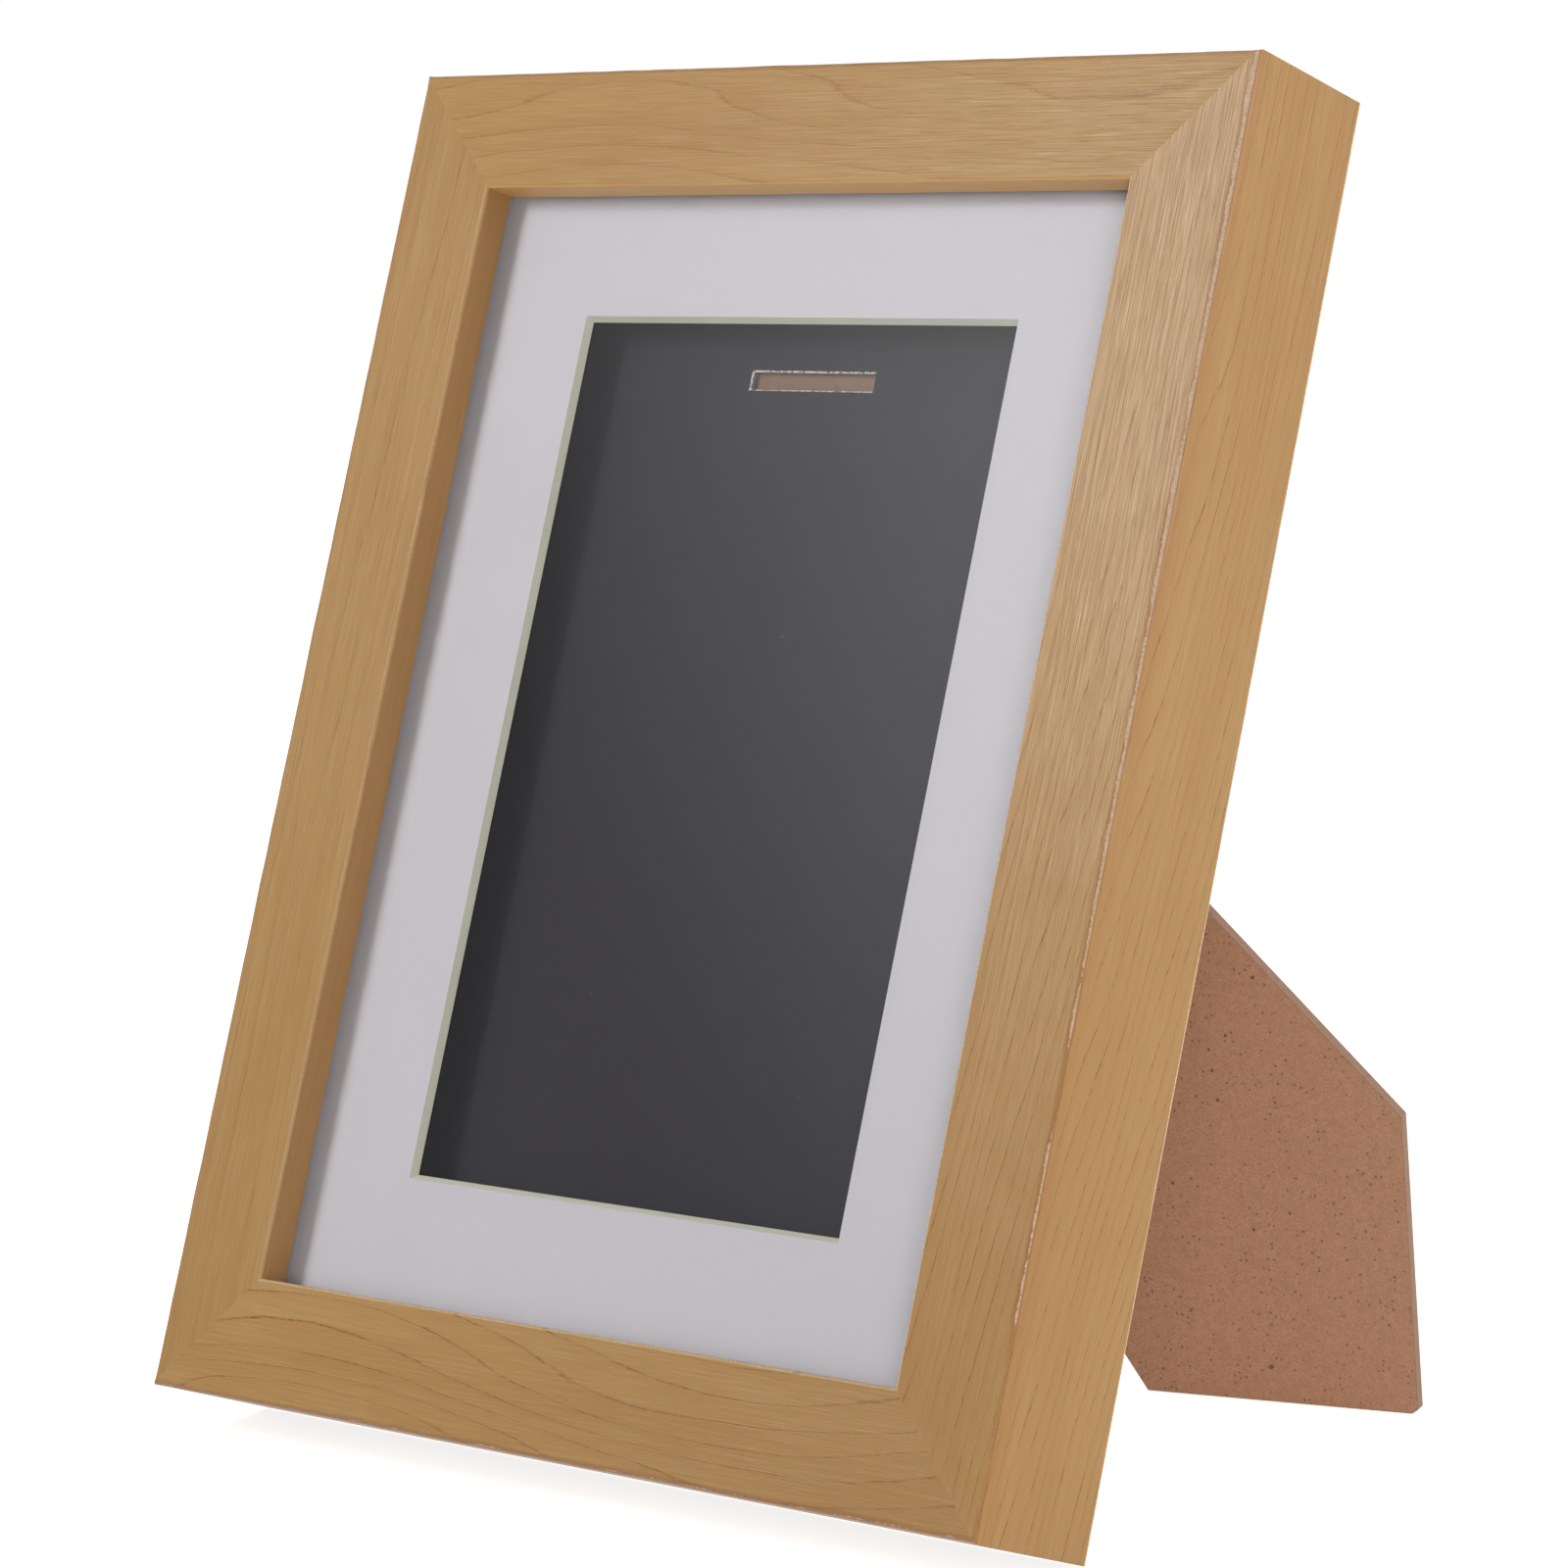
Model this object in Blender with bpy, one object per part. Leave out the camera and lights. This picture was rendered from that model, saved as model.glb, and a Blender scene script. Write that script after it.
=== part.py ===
# A medal display frame. Four mitred lengths of rabbeted wooden moulding hold glass, a window
# mat, spacer strips, a slotted card and a hardboard back, and the back carries a hinged strut.
# Metres, +Z up. The pieces are laid out in the frame's own axes: x across the front from the
# left, y back from the front face, z up from the bottom edge. The frame then leans back, so
# that it stands on its lower back edge and on the foot of the strut.

import math

import bmesh
import bpy
from mathutils import Euler, Matrix, Vector

MM = 0.001

# Sheets in the rabbet: glass, mat, card and back are cut to one size
SHEET_WIDTH = 152 * MM
SHEET_HEIGHT = 203 * MM
SHEET_PLAY = 0.5 * MM  # from a sheet's edge to the rabbet wall
SEAT_GAP = 0.2 * MM  # between faces that lie on each other
GLASS_THICK = 1.6 * MM
MAT_THICK = 1.2 * MM
SPACER_THICK = 5.5 * MM
SPACER_WIDTH = 9 * MM
CARD_THICK = 1 * MM
BACKING_THICK = 2.8 * MM

# Window in the mat and slot in the card
WINDOW_WIDTH = 96 * MM
WINDOW_HEIGHT = 151 * MM
WINDOW_BEVEL = 0.95 * MM  # how much smaller the window is behind, on each side
SLOT_WIDTH = 27 * MM
SLOT_HEIGHT = 3 * MM
SLOT_DROP = 9 * MM  # from the window's top edge to the slot's middle

# Moulding
LIP_OVERLAP = 5.5 * MM
LIP_DEPTH = 6 * MM
BACK_LAND = 15.5 * MM  # wood outside the rabbet
FRAME_DEPTH = 28 * MM
OUTER_ARRIS = 1 * MM
SIGHT_ARRIS = 0.6 * MM
BACK_ARRIS = 0.4 * MM
ARRIS_STEPS = 3
MITRE_GAP = 0.2 * MM

# V-shaped nails in the back of the mitres
VEE_LEG = 6 * MM
VEE_THICK = 0.6 * MM
VEE_DEPTH = 8 * MM
VEE_SINK = 0.2 * MM  # below the back of the wood
VEE_FROM_RABBET = 4.5 * MM
DRIVEN_CLEARANCE = 0.15 * MM  # around all steel that is driven into the wood

# Flexible retaining tabs
TAB_WIDTH = 7 * MM
TAB_THICK = 0.5 * MM
TAB_REACH = 7 * MM  # over the back
TAB_BITE = 6 * MM  # into the wood
TAB_POINT = 2 * MM
TAB_FROM_CORNER = 64 * MM

# Strut hinge
PIN_RADIUS = 1 * MM
PIN_CLEARANCE = 0.05 * MM
PIN_HEAD = 0.6 * MM
PIN_HEAD_RADIUS = 1.6 * MM
LEAF_THICK = 0.8 * MM
LEAF_WIDTH = 28 * MM
KNUCKLE_WIDTH = 9 * MM  # the middle one, on the moving leaf
KNUCKLE_GAP = 0.3 * MM
KNUCKLE_WRAP = math.radians(290)
FIXED_LEAF_REACH = 12 * MM
MOVING_LEAF_REACH = 14 * MM
HEEL_REACH = 6.5 * MM
HINGE_FROM_LEFT = 19.5 * MM  # its middle, from the rabbet's left wall
HINGE_FROM_TOP = 32.8 * MM  # its middle, from the rabbet's top wall
HINGE_TILT = math.radians(29.3)

# Rivets
RIVET_RADIUS = 1.5 * MM
RIVET_CLEARANCE = 0.15 * MM
RIVET_HEAD_RADIUS = 2.8 * MM
RIVET_HEAD = 0.9 * MM
RIVET_TAIL_RADIUS = 2.4 * MM
RIVET_TAIL = 0.4 * MM
RIVET_SPREAD = 18 * MM  # between the two rivets of a leaf
FIXED_RIVET_FROM_PIN = 7.6 * MM
MOVING_RIVET_FROM_PIN = 9.6 * MM

# Strut
STRUT_THICK = 2.5 * MM
STRUT_TOP_WIDTH = 34 * MM
STRUT_TOP_GAP = 0.6 * MM  # from the knuckles to the strut's top edge
FOOT_INSET = 7.6 * MM  # from the frame's right side to the foot's corner, strut closed
FOOT_LENGTH = 50.5 * MM
SIDE_LENGTH = 55 * MM
FOOT_CHAMFER = 1.2 * MM
OPENING = math.radians(33.6)
LEAN = math.radians(17.4)

# Toothed wall hangers
HANGER_LENGTH = 44 * MM
HANGER_HEIGHT = 8 * MM
HANGER_THICK = 0.8 * MM
HANGER_RAISE = 1 * MM
HANGER_END = 7 * MM  # the flat stretch at each end
HANGER_RAMP = 3 * MM
HANGER_CORNER = 1.5 * MM
TOOTH_PITCH = 2.4 * MM
TOOTH_DEPTH = 1.3 * MM
HANGER_NAIL_FROM_END = 4 * MM
HANGER_NAIL_RADIUS = 0.7 * MM
HANGER_NAIL_LENGTH = 8 * MM
HANGER_NAIL_POINT = 1.5 * MM
HANGER_NAIL_HEAD_RADIUS = 1.8 * MM
HANGER_NAIL_HEAD = 0.6 * MM

ROUND_SIDES = 20
PIN_SIDES = 24

# The frame's outside and the layers behind the lip
FRAME_WIDTH = SHEET_WIDTH + 2 * (SHEET_PLAY + BACK_LAND)
FRAME_HEIGHT = SHEET_HEIGHT + 2 * (SHEET_PLAY + BACK_LAND)
FACE_WIDTH = BACK_LAND + LIP_OVERLAP
SHEET_INSET = BACK_LAND + SHEET_PLAY
GLASS_FRONT = LIP_DEPTH + SEAT_GAP
MAT_FRONT = GLASS_FRONT + GLASS_THICK + SEAT_GAP
SPACER_FRONT = MAT_FRONT + MAT_THICK + SEAT_GAP
CARD_FRONT = SPACER_FRONT + SPACER_THICK + SEAT_GAP
BACKING_FRONT = CARD_FRONT + CARD_THICK + SEAT_GAP
BACKING_BACK = BACKING_FRONT + BACKING_THICK

# The hinge and what turns on it
KNUCKLE_BORE = PIN_RADIUS + PIN_CLEARANCE
KNUCKLE_RADIUS = KNUCKLE_BORE + LEAF_THICK
PIVOT = Vector(
    (
        BACK_LAND + HINGE_FROM_LEFT,
        BACKING_BACK + SEAT_GAP + KNUCKLE_RADIUS,
        FRAME_HEIGHT - BACK_LAND - HINGE_FROM_TOP,
    )
)
STRUT_INNER = SEAT_GAP - KNUCKLE_BORE  # the strut's two faces, measured back from the pin
STRUT_OUTER = STRUT_INNER + STRUT_THICK

WOOD = ("pale_wood", (184, 146, 99), 0.55, 0.0)
GLASS = ("clear_glass", (225, 232, 232), 0.05, 0.0)
MAT_BOARD = ("pale_mat_board", (198, 195, 200), 0.9, 0.0)
DARK_CARD = ("dark_card", (82, 81, 86), 0.9, 0.0)
HARDBOARD = ("hardboard", (160, 115, 85), 0.85, 0.0)
FOAM_BOARD = ("foam_board", (222, 220, 214), 0.9, 0.0)
STEEL = ("zinc_plated_steel", (190, 190, 186), 0.35, 1.0)
BRASSED = ("brassed_steel", (176, 148, 84), 0.35, 1.0)

BACK = Vector((0, 1, 0))


def linear(channel):
    """One 0 to 255 screen colour channel as linear light."""
    share = channel / 255
    return share / 12.92 if share <= 0.04045 else ((share + 0.055) / 1.055) ** 2.4


def finish(look):
    """The material of that name, made the first time it is asked for."""
    name, colour, roughness, metallic = look
    material = bpy.data.materials.get(name)
    if material is None:
        material = bpy.data.materials.new(name)
        material.use_nodes = True
        shader = material.node_tree.nodes["Principled BSDF"]
        shader.inputs["Base Color"].default_value = (*map(linear, colour), 1)
        shader.inputs["Roughness"].default_value = roughness
        shader.inputs["Metallic"].default_value = metallic
    return material


def piece(name, shape, look, holder, rounded=False):
    """An object made of the bmesh shape, carried by the empty called holder."""
    bmesh.ops.recalc_face_normals(shape, faces=shape.faces)
    mesh = bpy.data.meshes.new(name)
    shape.to_mesh(mesh)
    shape.free()
    if rounded:
        mesh.shade_smooth()
        mesh.set_sharp_from_angle(angle=math.radians(35))
    mesh.materials.append(finish(look))
    made = bpy.data.objects.new(name, mesh)
    bpy.context.collection.objects.link(made)
    made.parent = holder
    return made


def cut(body, name, shape, operation="DIFFERENCE"):
    """Cuts the bmesh shape out of body, or joins it on, by a hidden wire object beside it."""
    tool = piece(name, shape, STEEL, body.parent)
    tool.hide_render = True
    tool.display_type = "WIRE"
    change = body.modifiers.new(name, "BOOLEAN")
    change.operation = operation
    change.solver = "EXACT"
    change.object = tool


def holder(name, turn, place, parent=None):
    """An empty at a place and turn, which carries pieces."""
    empty = bpy.data.objects.new(name, None)
    bpy.context.collection.objects.link(empty)
    empty.rotation_euler = turn
    empty.location = place
    empty.parent = parent
    return empty


def loft(first, last):
    """A closed solid between two rings of points that match one for one."""
    shape = bmesh.new()
    low = [shape.verts.new(point) for point in first]
    high = [shape.verts.new(point) for point in last]
    shape.faces.new(low)
    shape.faces.new(high)
    for i, (near, far) in enumerate(zip(low, high)):
        shape.faces.new((near, low[i - 1], high[i - 1], far))
    return shape


def block(low, high):
    """A box between two opposite corners."""
    x0, y0, z0 = low
    x1, y1, z1 = high
    ring = ((x0, z0), (x1, z0), (x1, z1), (x0, z1))
    return loft([(x, y0, z) for x, z in ring], [(x, y1, z) for x, z in ring])


def turned(profile, centre, axis, sides=ROUND_SIDES):
    """A turned solid from (radius, height) points, which stands on centre and rises along axis."""
    shape = bmesh.new()
    points = [shape.verts.new((radius, 0, height)) for radius, height in profile]
    edges = [shape.edges.new(pair) for pair in zip(points, points[1:])]
    bmesh.ops.spin(
        shape,
        geom=points + edges,
        cent=(0, 0, 0),
        axis=(0, 0, 1),
        angle=math.tau,
        steps=sides,
        use_merge=True,
    )
    bmesh.ops.remove_doubles(shape, verts=shape.verts, dist=0.001 * MM)
    upright = Vector(axis).to_track_quat("Z", "Y").to_matrix().to_4x4()
    bmesh.ops.transform(shape, matrix=Matrix.Translation(centre) @ upright, verts=shape.verts)
    return shape


def drill(radius, start, end, sides=ROUND_SIDES):
    """A cylinder from start to end."""
    axis = Vector(end) - Vector(start)
    profile = ((0, 0), (radius, 0), (radius, axis.length), (0, axis.length))
    return turned(profile, start, axis, sides)


def arc(centre, radius, start, end, steps):
    """Points on an arc, both ends included, with its angles in radians."""
    angles = (start + (end - start) * i / steps for i in range(steps + 1))
    return [
        (centre[0] + radius * math.cos(angle), centre[1] + radius * math.sin(angle))
        for angle in angles
    ]


class Side:
    """One side of the frame: its start at an outer corner, its length, and the way inwards."""

    def __init__(self, corner, along, inward, length):
        self.corner = Vector(corner)
        self.along = Vector(along)
        self.inward = Vector(inward)
        self.length = length

    def at(self, along, inset, depth):
        """A point this far along the side, in from its outer face and back from the front."""
        return self.corner + self.along * along + self.inward * inset + BACK * depth


BOTTOM = Side((0, 0, 0), (1, 0, 0), (0, 0, 1), FRAME_WIDTH)
RIGHT = Side((FRAME_WIDTH, 0, 0), (0, 0, 1), (-1, 0, 0), FRAME_HEIGHT)
TOP = Side((FRAME_WIDTH, 0, FRAME_HEIGHT), (-1, 0, 0), (0, 0, -1), FRAME_WIDTH)
LEFT = Side((0, 0, FRAME_HEIGHT), (0, 0, -1), (1, 0, 0), FRAME_HEIGHT)
SIDES = {"rail_bottom": BOTTOM, "stile_right": RIGHT, "rail_top": TOP, "stile_left": LEFT}
CORNERS = {
    "corner_nail_bottom_left": (BOTTOM, "rail_bottom", "stile_left"),
    "corner_nail_bottom_right": (RIGHT, "stile_right", "rail_bottom"),
    "corner_nail_top_right": (TOP, "rail_top", "stile_right"),
    "corner_nail_top_left": (LEFT, "stile_left", "rail_top"),
}


def moulding_outline():
    """The moulding's section as (inset, depth) points, from the outer front arris round."""
    quarter = math.pi / 2
    outer = arc((OUTER_ARRIS, OUTER_ARRIS), OUTER_ARRIS, 2 * quarter, 3 * quarter, ARRIS_STEPS)
    sight_middle = (FACE_WIDTH - SIGHT_ARRIS, SIGHT_ARRIS)
    sight = arc(sight_middle, SIGHT_ARRIS, 3 * quarter, 4 * quarter, ARRIS_STEPS)
    rabbet = [(FACE_WIDTH, LIP_DEPTH), (BACK_LAND, LIP_DEPTH)]
    deep = FRAME_DEPTH - BACK_ARRIS
    inner_back = arc((BACK_LAND - BACK_ARRIS, deep), BACK_ARRIS, 0, quarter, ARRIS_STEPS)
    outer_back = arc((BACK_ARRIS, deep), BACK_ARRIS, quarter, 2 * quarter, ARRIS_STEPS)
    return outer + sight + rabbet + inner_back + outer_back


def rail(name, side, frame):
    """One length of moulding, with its ends mitred."""
    set_back = MITRE_GAP / math.sqrt(2)
    outline = moulding_outline()
    start = [side.at(inset + set_back, inset, depth) for inset, depth in outline]
    end = [side.at(side.length - inset - set_back, inset, depth) for inset, depth in outline]
    return piece(name, loft(start, end), WOOD, frame)


def vee(side, grow, front, back):
    """A V nail's solid at the side's first corner, its legs open to the outside of the frame."""
    apex = BACK_LAND - VEE_FROM_RABBET + grow
    tip = BACK_LAND - VEE_FROM_RABBET - VEE_LEG - grow
    inner = BACK_LAND - VEE_FROM_RABBET - VEE_THICK - grow
    ring = ((apex, apex), (apex, tip), (inner, tip), (inner, inner), (tip, inner), (tip, apex))
    return loft(
        [side.at(along, inset, front) for along, inset in ring],
        [side.at(along, inset, back) for along, inset in ring],
    )


def corner_nail(name, corner, rails, frame):
    """A V nail pressed into the back of a mitre, and its slot in both rails."""
    side, *joined = corner
    back = FRAME_DEPTH - VEE_SINK
    piece(name, vee(side, 0, back - VEE_DEPTH, back), STEEL, frame)
    bottom = back - VEE_DEPTH - DRIVEN_CLEARANCE
    for rail_name in joined:
        slot = vee(side, DRIVEN_CLEARANCE, bottom, FRAME_DEPTH + VEE_DEPTH)
        cut(rails[rail_name], f"{rail_name}_{name}_slot", slot)


def retaining_tab(name, side, along, wood, frame):
    """A flexible steel point in the rabbet wall, which lies over the back."""
    front = BACKING_BACK + SEAT_GAP
    half = TAB_WIDTH / 2
    inner = BACK_LAND - TAB_BITE
    outer = BACK_LAND + TAB_REACH
    blunt = half - TAB_POINT
    outline = (
        (-half, inner + TAB_POINT),
        (-blunt, inner),
        (blunt, inner),
        (half, inner + TAB_POINT),
        (half, outer - TAB_POINT),
        (blunt, outer),
        (-blunt, outer),
        (-half, outer - TAB_POINT),
    )
    solid = loft(
        [side.at(along + x, inset, front) for x, inset in outline],
        [side.at(along + x, inset, front + TAB_THICK) for x, inset in outline],
    )
    piece(name, solid, STEEL, frame)
    wide = half + DRIVEN_CLEARANCE
    low = side.at(along - wide, inner - DRIVEN_CLEARANCE, front - DRIVEN_CLEARANCE)
    high = side.at(along + wide, outer, front + TAB_THICK + DRIVEN_CLEARANCE)
    cut(wood, f"{name}_slot", block(low, high))


def sheet(name, thickness, front, look, frame):
    """A plain sheet that fills the rabbet."""
    low = (SHEET_INSET, front, SHEET_INSET)
    high = (FRAME_WIDTH - SHEET_INSET, front + thickness, FRAME_HEIGHT - SHEET_INSET)
    return piece(name, block(low, high), look, frame)


def holed_sheet(name, thickness, front, hole, bevel, look, frame):
    """A sheet that fills the rabbet, with a rectangular hole that narrows towards the back."""
    x0, x1, z0, z1 = hole
    right = FRAME_WIDTH - SHEET_INSET
    top = FRAME_HEIGHT - SHEET_INSET
    edge = ((SHEET_INSET, SHEET_INSET), (right, SHEET_INSET), (right, top), (SHEET_INSET, top))
    mouth = ((x0, z0), (x1, z0), (x1, z1), (x0, z1))
    throat = (
        (x0 + bevel, z0 + bevel),
        (x1 - bevel, z0 + bevel),
        (x1 - bevel, z1 - bevel),
        (x0 + bevel, z1 - bevel),
    )
    back = front + thickness
    shape = bmesh.new()
    rings = [
        [shape.verts.new((x, y, z)) for x, z in corners]
        for corners, y in ((edge, front), (mouth, front), (throat, back), (edge, back))
    ]
    for ring, following in zip(rings, rings[1:] + rings[:1]):
        for i in range(len(edge)):
            shape.faces.new((ring[i - 1], ring[i], following[i], following[i - 1]))
    return piece(name, shape, look, frame)


def window():
    """The window's sides at the mat's front: left, right, bottom, top."""
    middle_x = FRAME_WIDTH / 2
    middle_z = FRAME_HEIGHT / 2
    half_width = WINDOW_WIDTH / 2
    half_height = WINDOW_HEIGHT / 2
    return (
        middle_x - half_width,
        middle_x + half_width,
        middle_z - half_height,
        middle_z + half_height,
    )


def slot():
    """The slot's sides: left, right, bottom, top."""
    middle_x = FRAME_WIDTH / 2
    middle_z = window()[3] - SLOT_DROP
    half_width = SLOT_WIDTH / 2
    half_height = SLOT_HEIGHT / 2
    return (
        middle_x - half_width,
        middle_x + half_width,
        middle_z - half_height,
        middle_z + half_height,
    )


def spacers(frame):
    """Four strips between the mat and the card, the two upright ones full height."""
    left = SHEET_INSET
    right = FRAME_WIDTH - SHEET_INSET
    bottom = SHEET_INSET
    top = FRAME_HEIGHT - SHEET_INSET
    inner_left = left + SPACER_WIDTH
    inner_right = right - SPACER_WIDTH
    spans = {
        "spacer_left": (left, inner_left, bottom, top),
        "spacer_right": (inner_right, right, bottom, top),
        "spacer_bottom": (inner_left + SEAT_GAP, inner_right - SEAT_GAP, bottom, bottom + SPACER_WIDTH),
        "spacer_top": (inner_left + SEAT_GAP, inner_right - SEAT_GAP, top - SPACER_WIDTH, top),
    }
    for name, (x0, x1, z0, z1) in spans.items():
        solid = block((x0, SPACER_FRONT, z0), (x1, SPACER_FRONT + SPACER_THICK, z1))
        piece(name, solid, FOAM_BOARD, frame)


def rolled_leaf(name, reach, up, look, carrier):
    """A hinge leaf rolled round the pin along its whole width, its plate up or down from the pin."""
    start = -math.pi / 2
    end = start - KNUCKLE_WRAP
    steps = round(PIN_SIDES * KNUCKLE_WRAP / math.tau)
    outline = (
        [(reach, -KNUCKLE_RADIUS)]
        + arc((0, 0), KNUCKLE_RADIUS, start, end, steps)
        + arc((0, 0), KNUCKLE_BORE, end, start, steps)
        + [(reach, -KNUCKLE_BORE)]
    )
    half = LEAF_WIDTH / 2
    rings = [[(x, out, away * up) for away, out in outline] for x in (-half, half)]
    return piece(name, loft(*rings), look, carrier, rounded=True)


def notch(x0, x1, up):
    """The space that the other leaf's knuckle needs between x0 and x1."""
    past = KNUCKLE_RADIUS + KNUCKLE_GAP
    return block((x0, -past, -past * up), (x1, past, past * up))


def rivets(name, places, tail, head, carrier):
    """Rivets at (x, z) places, with their clinched tails and domed heads at these depths."""
    neck = head - tail
    dome = arc((0, 0), 1, 0, math.pi / 2, 4)
    profile = (
        (0, 0),
        (RIVET_TAIL_RADIUS, 0),
        (RIVET_TAIL_RADIUS, RIVET_TAIL),
        (RIVET_RADIUS, RIVET_TAIL),
        (RIVET_RADIUS, neck),
        *((RIVET_HEAD_RADIUS * out, neck + RIVET_HEAD * up) for out, up in dome[:-1]),
        (0, neck + RIVET_HEAD),
    )
    for side, (x, z) in zip(("left", "right"), places):
        piece(f"{name}_{side}", turned(profile, (x, tail, z), BACK), STEEL, carrier, rounded=True)


def rivet_places(from_pin, up):
    """Where a leaf's two rivets stand, in the hinge's axes."""
    return [(across, from_pin * up) for across in (-RIVET_SPREAD / 2, RIVET_SPREAD / 2)]


def fixed_hinge(hinge, backing):
    """The leaf on the back, its rivets and the pin."""
    leaf = rolled_leaf("hinge_fixed_leaf", FIXED_LEAF_REACH, 1, STEEL, hinge)
    half = KNUCKLE_WIDTH / 2 + KNUCKLE_GAP
    cut(leaf, "fixed_leaf_notch", notch(-half, half, 1))
    hole = RIVET_RADIUS + RIVET_CLEARANCE
    recess = RIVET_TAIL_RADIUS + RIVET_CLEARANCE
    recess_end = BACKING_FRONT + RIVET_TAIL + 2 * RIVET_CLEARANCE
    before_board = BACKING_FRONT - BACKING_THICK
    after_board = BACKING_BACK + BACKING_THICK
    places = rivet_places(FIXED_RIVET_FROM_PIN, 1)
    for number, (x, z) in enumerate(places):
        through = drill(hole, (x, -KNUCKLE_RADIUS - LEAF_THICK, z), (x, 0, z))
        cut(leaf, f"fixed_leaf_rivet_hole_{number}", through)
        spot = PIVOT + swing_turn(0).to_matrix() @ Vector((x, 0, z))
        board_hole = drill(hole, at_depth(spot, before_board), at_depth(spot, after_board))
        cut(backing, f"backing_rivet_hole_{number}", board_hole)
        board_recess = drill(recess, at_depth(spot, before_board), at_depth(spot, recess_end))
        cut(backing, f"backing_rivet_recess_{number}", board_recess)
    tail = BACKING_FRONT + RIVET_CLEARANCE - PIVOT.y
    rivets("board_rivet", places, tail, SEAT_GAP - KNUCKLE_BORE, hinge)
    hinge_pin(hinge)


def at_depth(spot, depth):
    """The point behind or before spot that lies this far back from the frame's front."""
    return Vector((spot.x, depth, spot.z))


def hinge_pin(hinge):
    """The pin, with a peened head at each end."""
    head_start = LEAF_WIDTH / 2 + SEAT_GAP
    head_end = head_start + PIN_HEAD
    profile = (
        (0, -head_end),
        (PIN_HEAD_RADIUS, -head_end),
        (PIN_HEAD_RADIUS, -head_start),
        (PIN_RADIUS, -head_start),
        (PIN_RADIUS, head_start),
        (PIN_HEAD_RADIUS, head_start),
        (PIN_HEAD_RADIUS, head_end),
        (0, head_end),
    )
    pin = turned(profile, (0, 0, 0), (1, 0, 0), PIN_SIDES)
    piece("hinge_pin", pin, STEEL, hinge, rounded=True)


def heel():
    """The moving leaf's stop: a tongue that lies along the fixed leaf when the strut is open."""
    half = KNUCKLE_WIDTH / 2
    level = -KNUCKLE_BORE + SEAT_GAP
    root = (KNUCKLE_BORE + KNUCKLE_RADIUS) / 2
    shape = block((-half, level, root - LEAF_THICK / 4), (half, level + LEAF_THICK, HEEL_REACH))
    turn = Matrix.Rotation(-OPENING, 4, "X")
    bmesh.ops.transform(shape, matrix=turn, verts=shape.verts)
    return shape


def moving_hinge(swing):
    """The leaf on the strut, with its heel, and its rivets."""
    leaf = rolled_leaf("hinge_moving_leaf", MOVING_LEAF_REACH, -1, STEEL, swing)
    inner = KNUCKLE_WIDTH / 2
    outer = LEAF_WIDTH / 2 + KNUCKLE_GAP
    cut(leaf, "moving_leaf_notch_left", notch(-outer, -inner, -1))
    cut(leaf, "moving_leaf_notch_right", notch(inner, outer, -1))
    cut(leaf, "moving_leaf_heel", heel(), "UNION")
    places = rivet_places(MOVING_RIVET_FROM_PIN, -1)
    for number, (x, z) in enumerate(places):
        through = drill(RIVET_RADIUS + RIVET_CLEARANCE, (x, -KNUCKLE_RADIUS - LEAF_THICK, z), (x, 0, z))
        cut(leaf, f"moving_leaf_rivet_hole_{number}", through)
    tail = -KNUCKLE_RADIUS - RIVET_CLEARANCE - RIVET_TAIL
    rivets("strut_rivet", places, tail, STRUT_OUTER + SEAT_GAP, swing)


def leaned(point):
    """A point of the frame's axes after the frame leans back about its lower back edge."""
    tilt = Matrix.Rotation(-LEAN, 4, "X") @ Matrix.Translation(-BACK * FRAME_DEPTH)
    return tilt @ Vector(point)


def table_level():
    """The height of the table: the lowest point of the leaned moulding."""
    return min(leaned(BOTTOM.at(0, inset, depth)).z for inset, depth in moulding_outline())


def swing_turn(opening):
    """The strut's turn in the frame: tilted on the back, then opened about the pin."""
    return Euler((opening, -HINGE_TILT, 0))


def strut_point(x, z, out):
    """A point of the strut, given where it lies over the frame when the strut is closed flat."""
    flat = swing_turn(0).to_matrix().inverted() @ Vector((x - PIVOT.x, 0, z - PIVOT.z))
    return Vector((flat.x, out, flat.z))


def height(point):
    """How high above the table a point of the open strut lies."""
    return leaned(PIVOT + swing_turn(OPENING).to_matrix() @ point).z - table_level()


def foot_point(x, out):
    """Where the strut meets the table at this distance across the frame, closed."""
    low = strut_point(x, 0, out)
    high = strut_point(x, FRAME_HEIGHT, out)
    return low.lerp(high, height(low) / (height(low) - height(high)))


def strut_face(out):
    """The strut's outline at one of its faces: top edge, left edge, foot, right side and back up."""
    right = FRAME_WIDTH - FOOT_INSET
    left = right - FOOT_LENGTH
    corner = foot_point(right, out)
    upright = (strut_point(right, FRAME_HEIGHT, out) - corner).normalized()
    side_top = foot_point(right, STRUT_INNER) + upright * SIDE_LENGTH
    side_top.y = out
    top = -KNUCKLE_RADIUS - STRUT_TOP_GAP
    half = STRUT_TOP_WIDTH / 2
    return [
        (-half, out, top),
        foot_point(left, out),
        foot_point(right - FOOT_CHAMFER, out),
        corner + upright * FOOT_CHAMFER,
        side_top,
        (half, out, top),
    ]


def strut(swing):
    """The five-sided hardboard strut, its foot cut to lie flat on the table."""
    board = piece("strut", loft(strut_face(STRUT_INNER), strut_face(STRUT_OUTER)), HARDBOARD, swing)
    for number, (x, z) in enumerate(rivet_places(MOVING_RIVET_FROM_PIN, -1)):
        past = STRUT_THICK
        hole = drill(
            RIVET_RADIUS + RIVET_CLEARANCE, (x, STRUT_INNER - past, z), (x, STRUT_OUTER + past, z)
        )
        cut(board, f"strut_rivet_hole_{number}", hole)


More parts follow.
